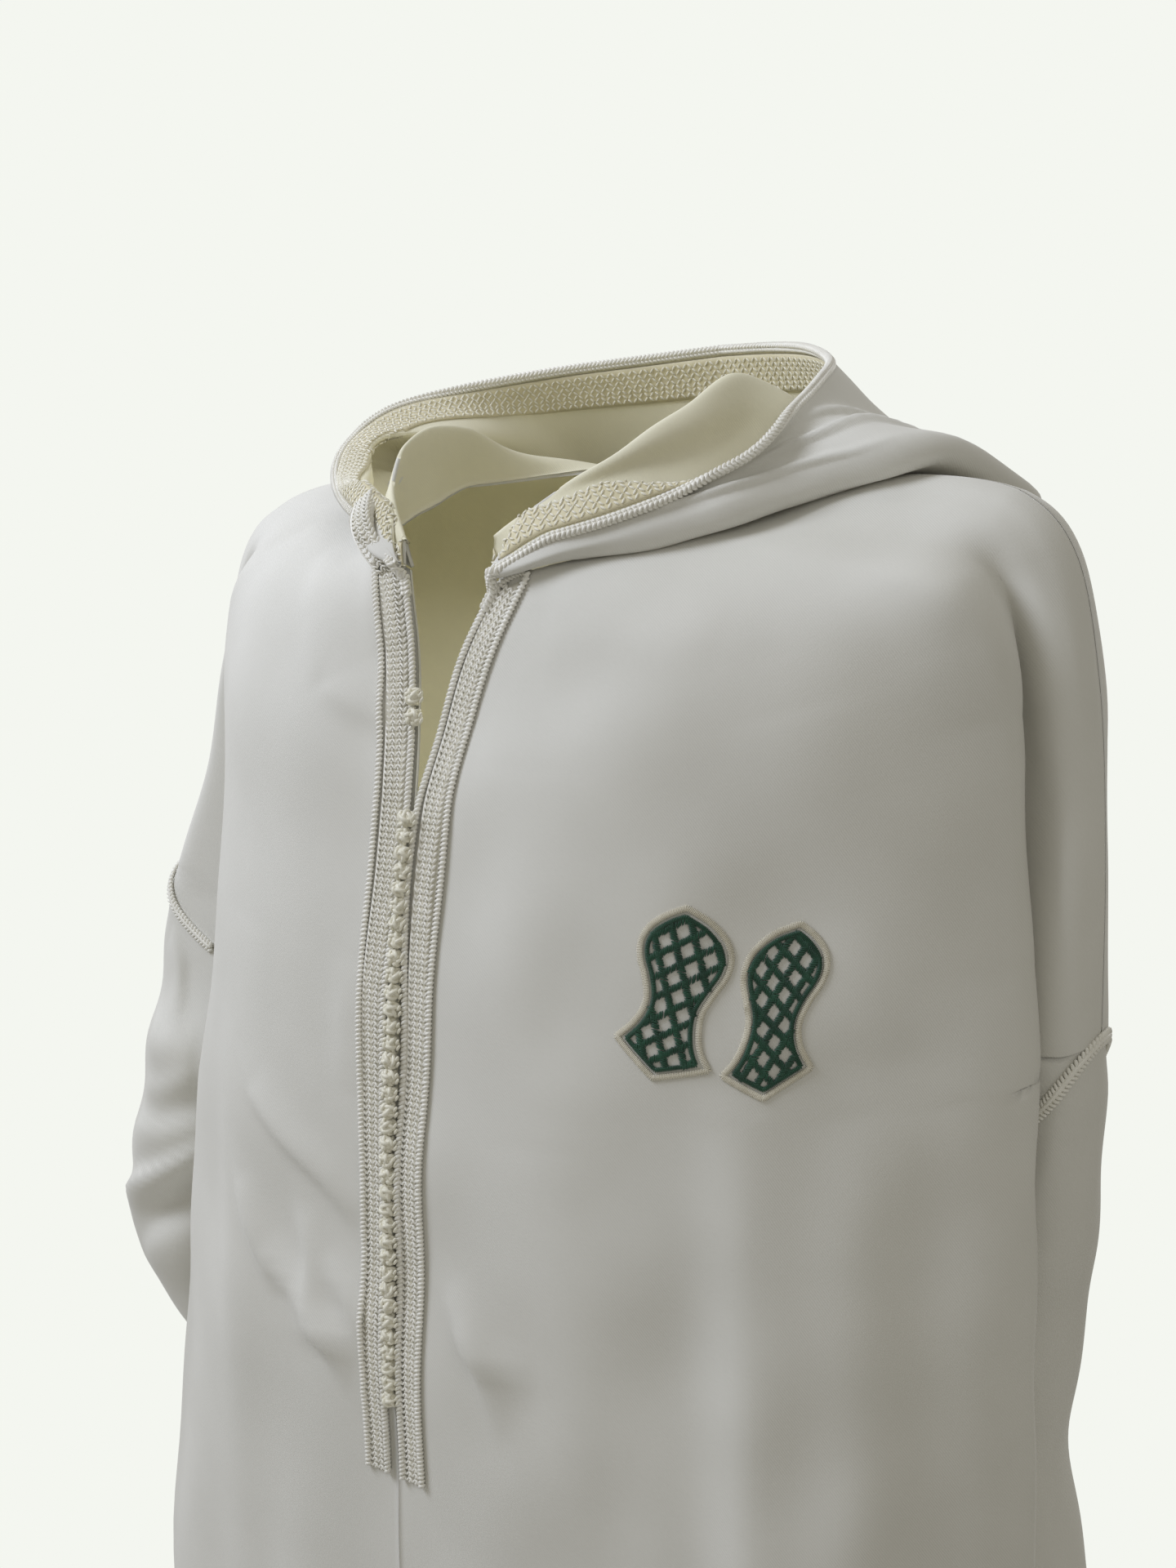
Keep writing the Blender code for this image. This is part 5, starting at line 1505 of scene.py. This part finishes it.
def pale_floor():
    """A plain round floor under the hem."""
    turn = np.arange(FLOOR_SIDES) * 2 * math.pi / FLOOR_SIDES
    rim = np.stack((np.cos(turn) * FLOOR_RADIUS, np.sin(turn) * FLOOR_RADIUS, turn * 0 + FLOOR_Z), -1)
    mesh = bpy.data.meshes.new("floor")
    mesh.from_pydata(rim.tolist(), [], [tuple(range(FLOOR_SIDES))])
    floor = bpy.data.objects.new("floor", mesh)
    bpy.context.scene.collection.objects.link(floor)
    shade, tree, shader = node_tree("floor_paint")
    place = tree.nodes.new("ShaderNodeTexCoord")
    tone = noise_node(tree, place, 1.5)
    colour = ramp_node(tree, tone.outputs["Fac"], FLOOR_LOW, FLOOR_HIGH)
    tree.links.new(colour.outputs["Color"], shader.inputs["Base Color"])
    shader.inputs["Roughness"].default_value = 0.9
    mesh.materials.append(shade)


def studio():
    backdrop()
    pale_floor()
    for lamp in LIGHTS:
        area_light(*lamp)


def main():
    """The studio, the cloth and the trims sewn on it."""
    camera()
    studio()
    outside = wool("wool_outside", (0.680, 0.668, 0.612), (0.735, 0.723, 0.668), 0.20)
    # The inside finish is the same wool painted yellower: painted shade, and painted light shining through
    # the thin cloth, on the inner face.
    inside = wool("wool_inside_painted_shade", (0.78, 0.745, 0.56), (0.84, 0.805, 0.63), 0.15)
    finishes = (outside, inside)
    fronts(finishes)
    back(finishes)
    sleeves(finishes)
    hood_points_grid, hood_out = hood_cloth(finishes)
    silver = thread("silver_thread", (0.86, 0.84, 0.76), (0.92, 0.90, 0.83), 0.34)
    ground = thread("band_ground", (0.58, 0.55, 0.45), (0.68, 0.65, 0.54), 0.55)
    knotted = thread("knot_thread", (0.80, 0.77, 0.64), (0.86, 0.83, 0.70), 0.36)
    cream = thread("cream_thread", (0.66, 0.62, 0.50), (0.76, 0.72, 0.60), 0.42)
    green = thread("green_thread", (0.005, 0.048, 0.024), (0.011, 0.085, 0.042), 0.42)
    trims = (silver, ground)
    front_trims(trims, (hood_points_grid, hood_out))
    knot_pieces((knotted, ground))
    armhole_pieces(trims)
    # The hood's band is the front bands' silver thread and ground painted yellower: painted shade inside the
    # hood.
    painted_shade_band_thread = thread("hood_band_thread_painted_shade", (0.82, 0.79, 0.66), (0.88, 0.85, 0.73), 0.38)
    painted_shade_band_ground = thread("hood_band_ground_painted_shade", (0.66, 0.60, 0.40), (0.74, 0.68, 0.47), 0.55)
    hood_trims(hood_points_grid, hood_out, trims, (painted_shade_band_thread, painted_shade_band_ground))
    emblem_pieces(cream, green)


main()
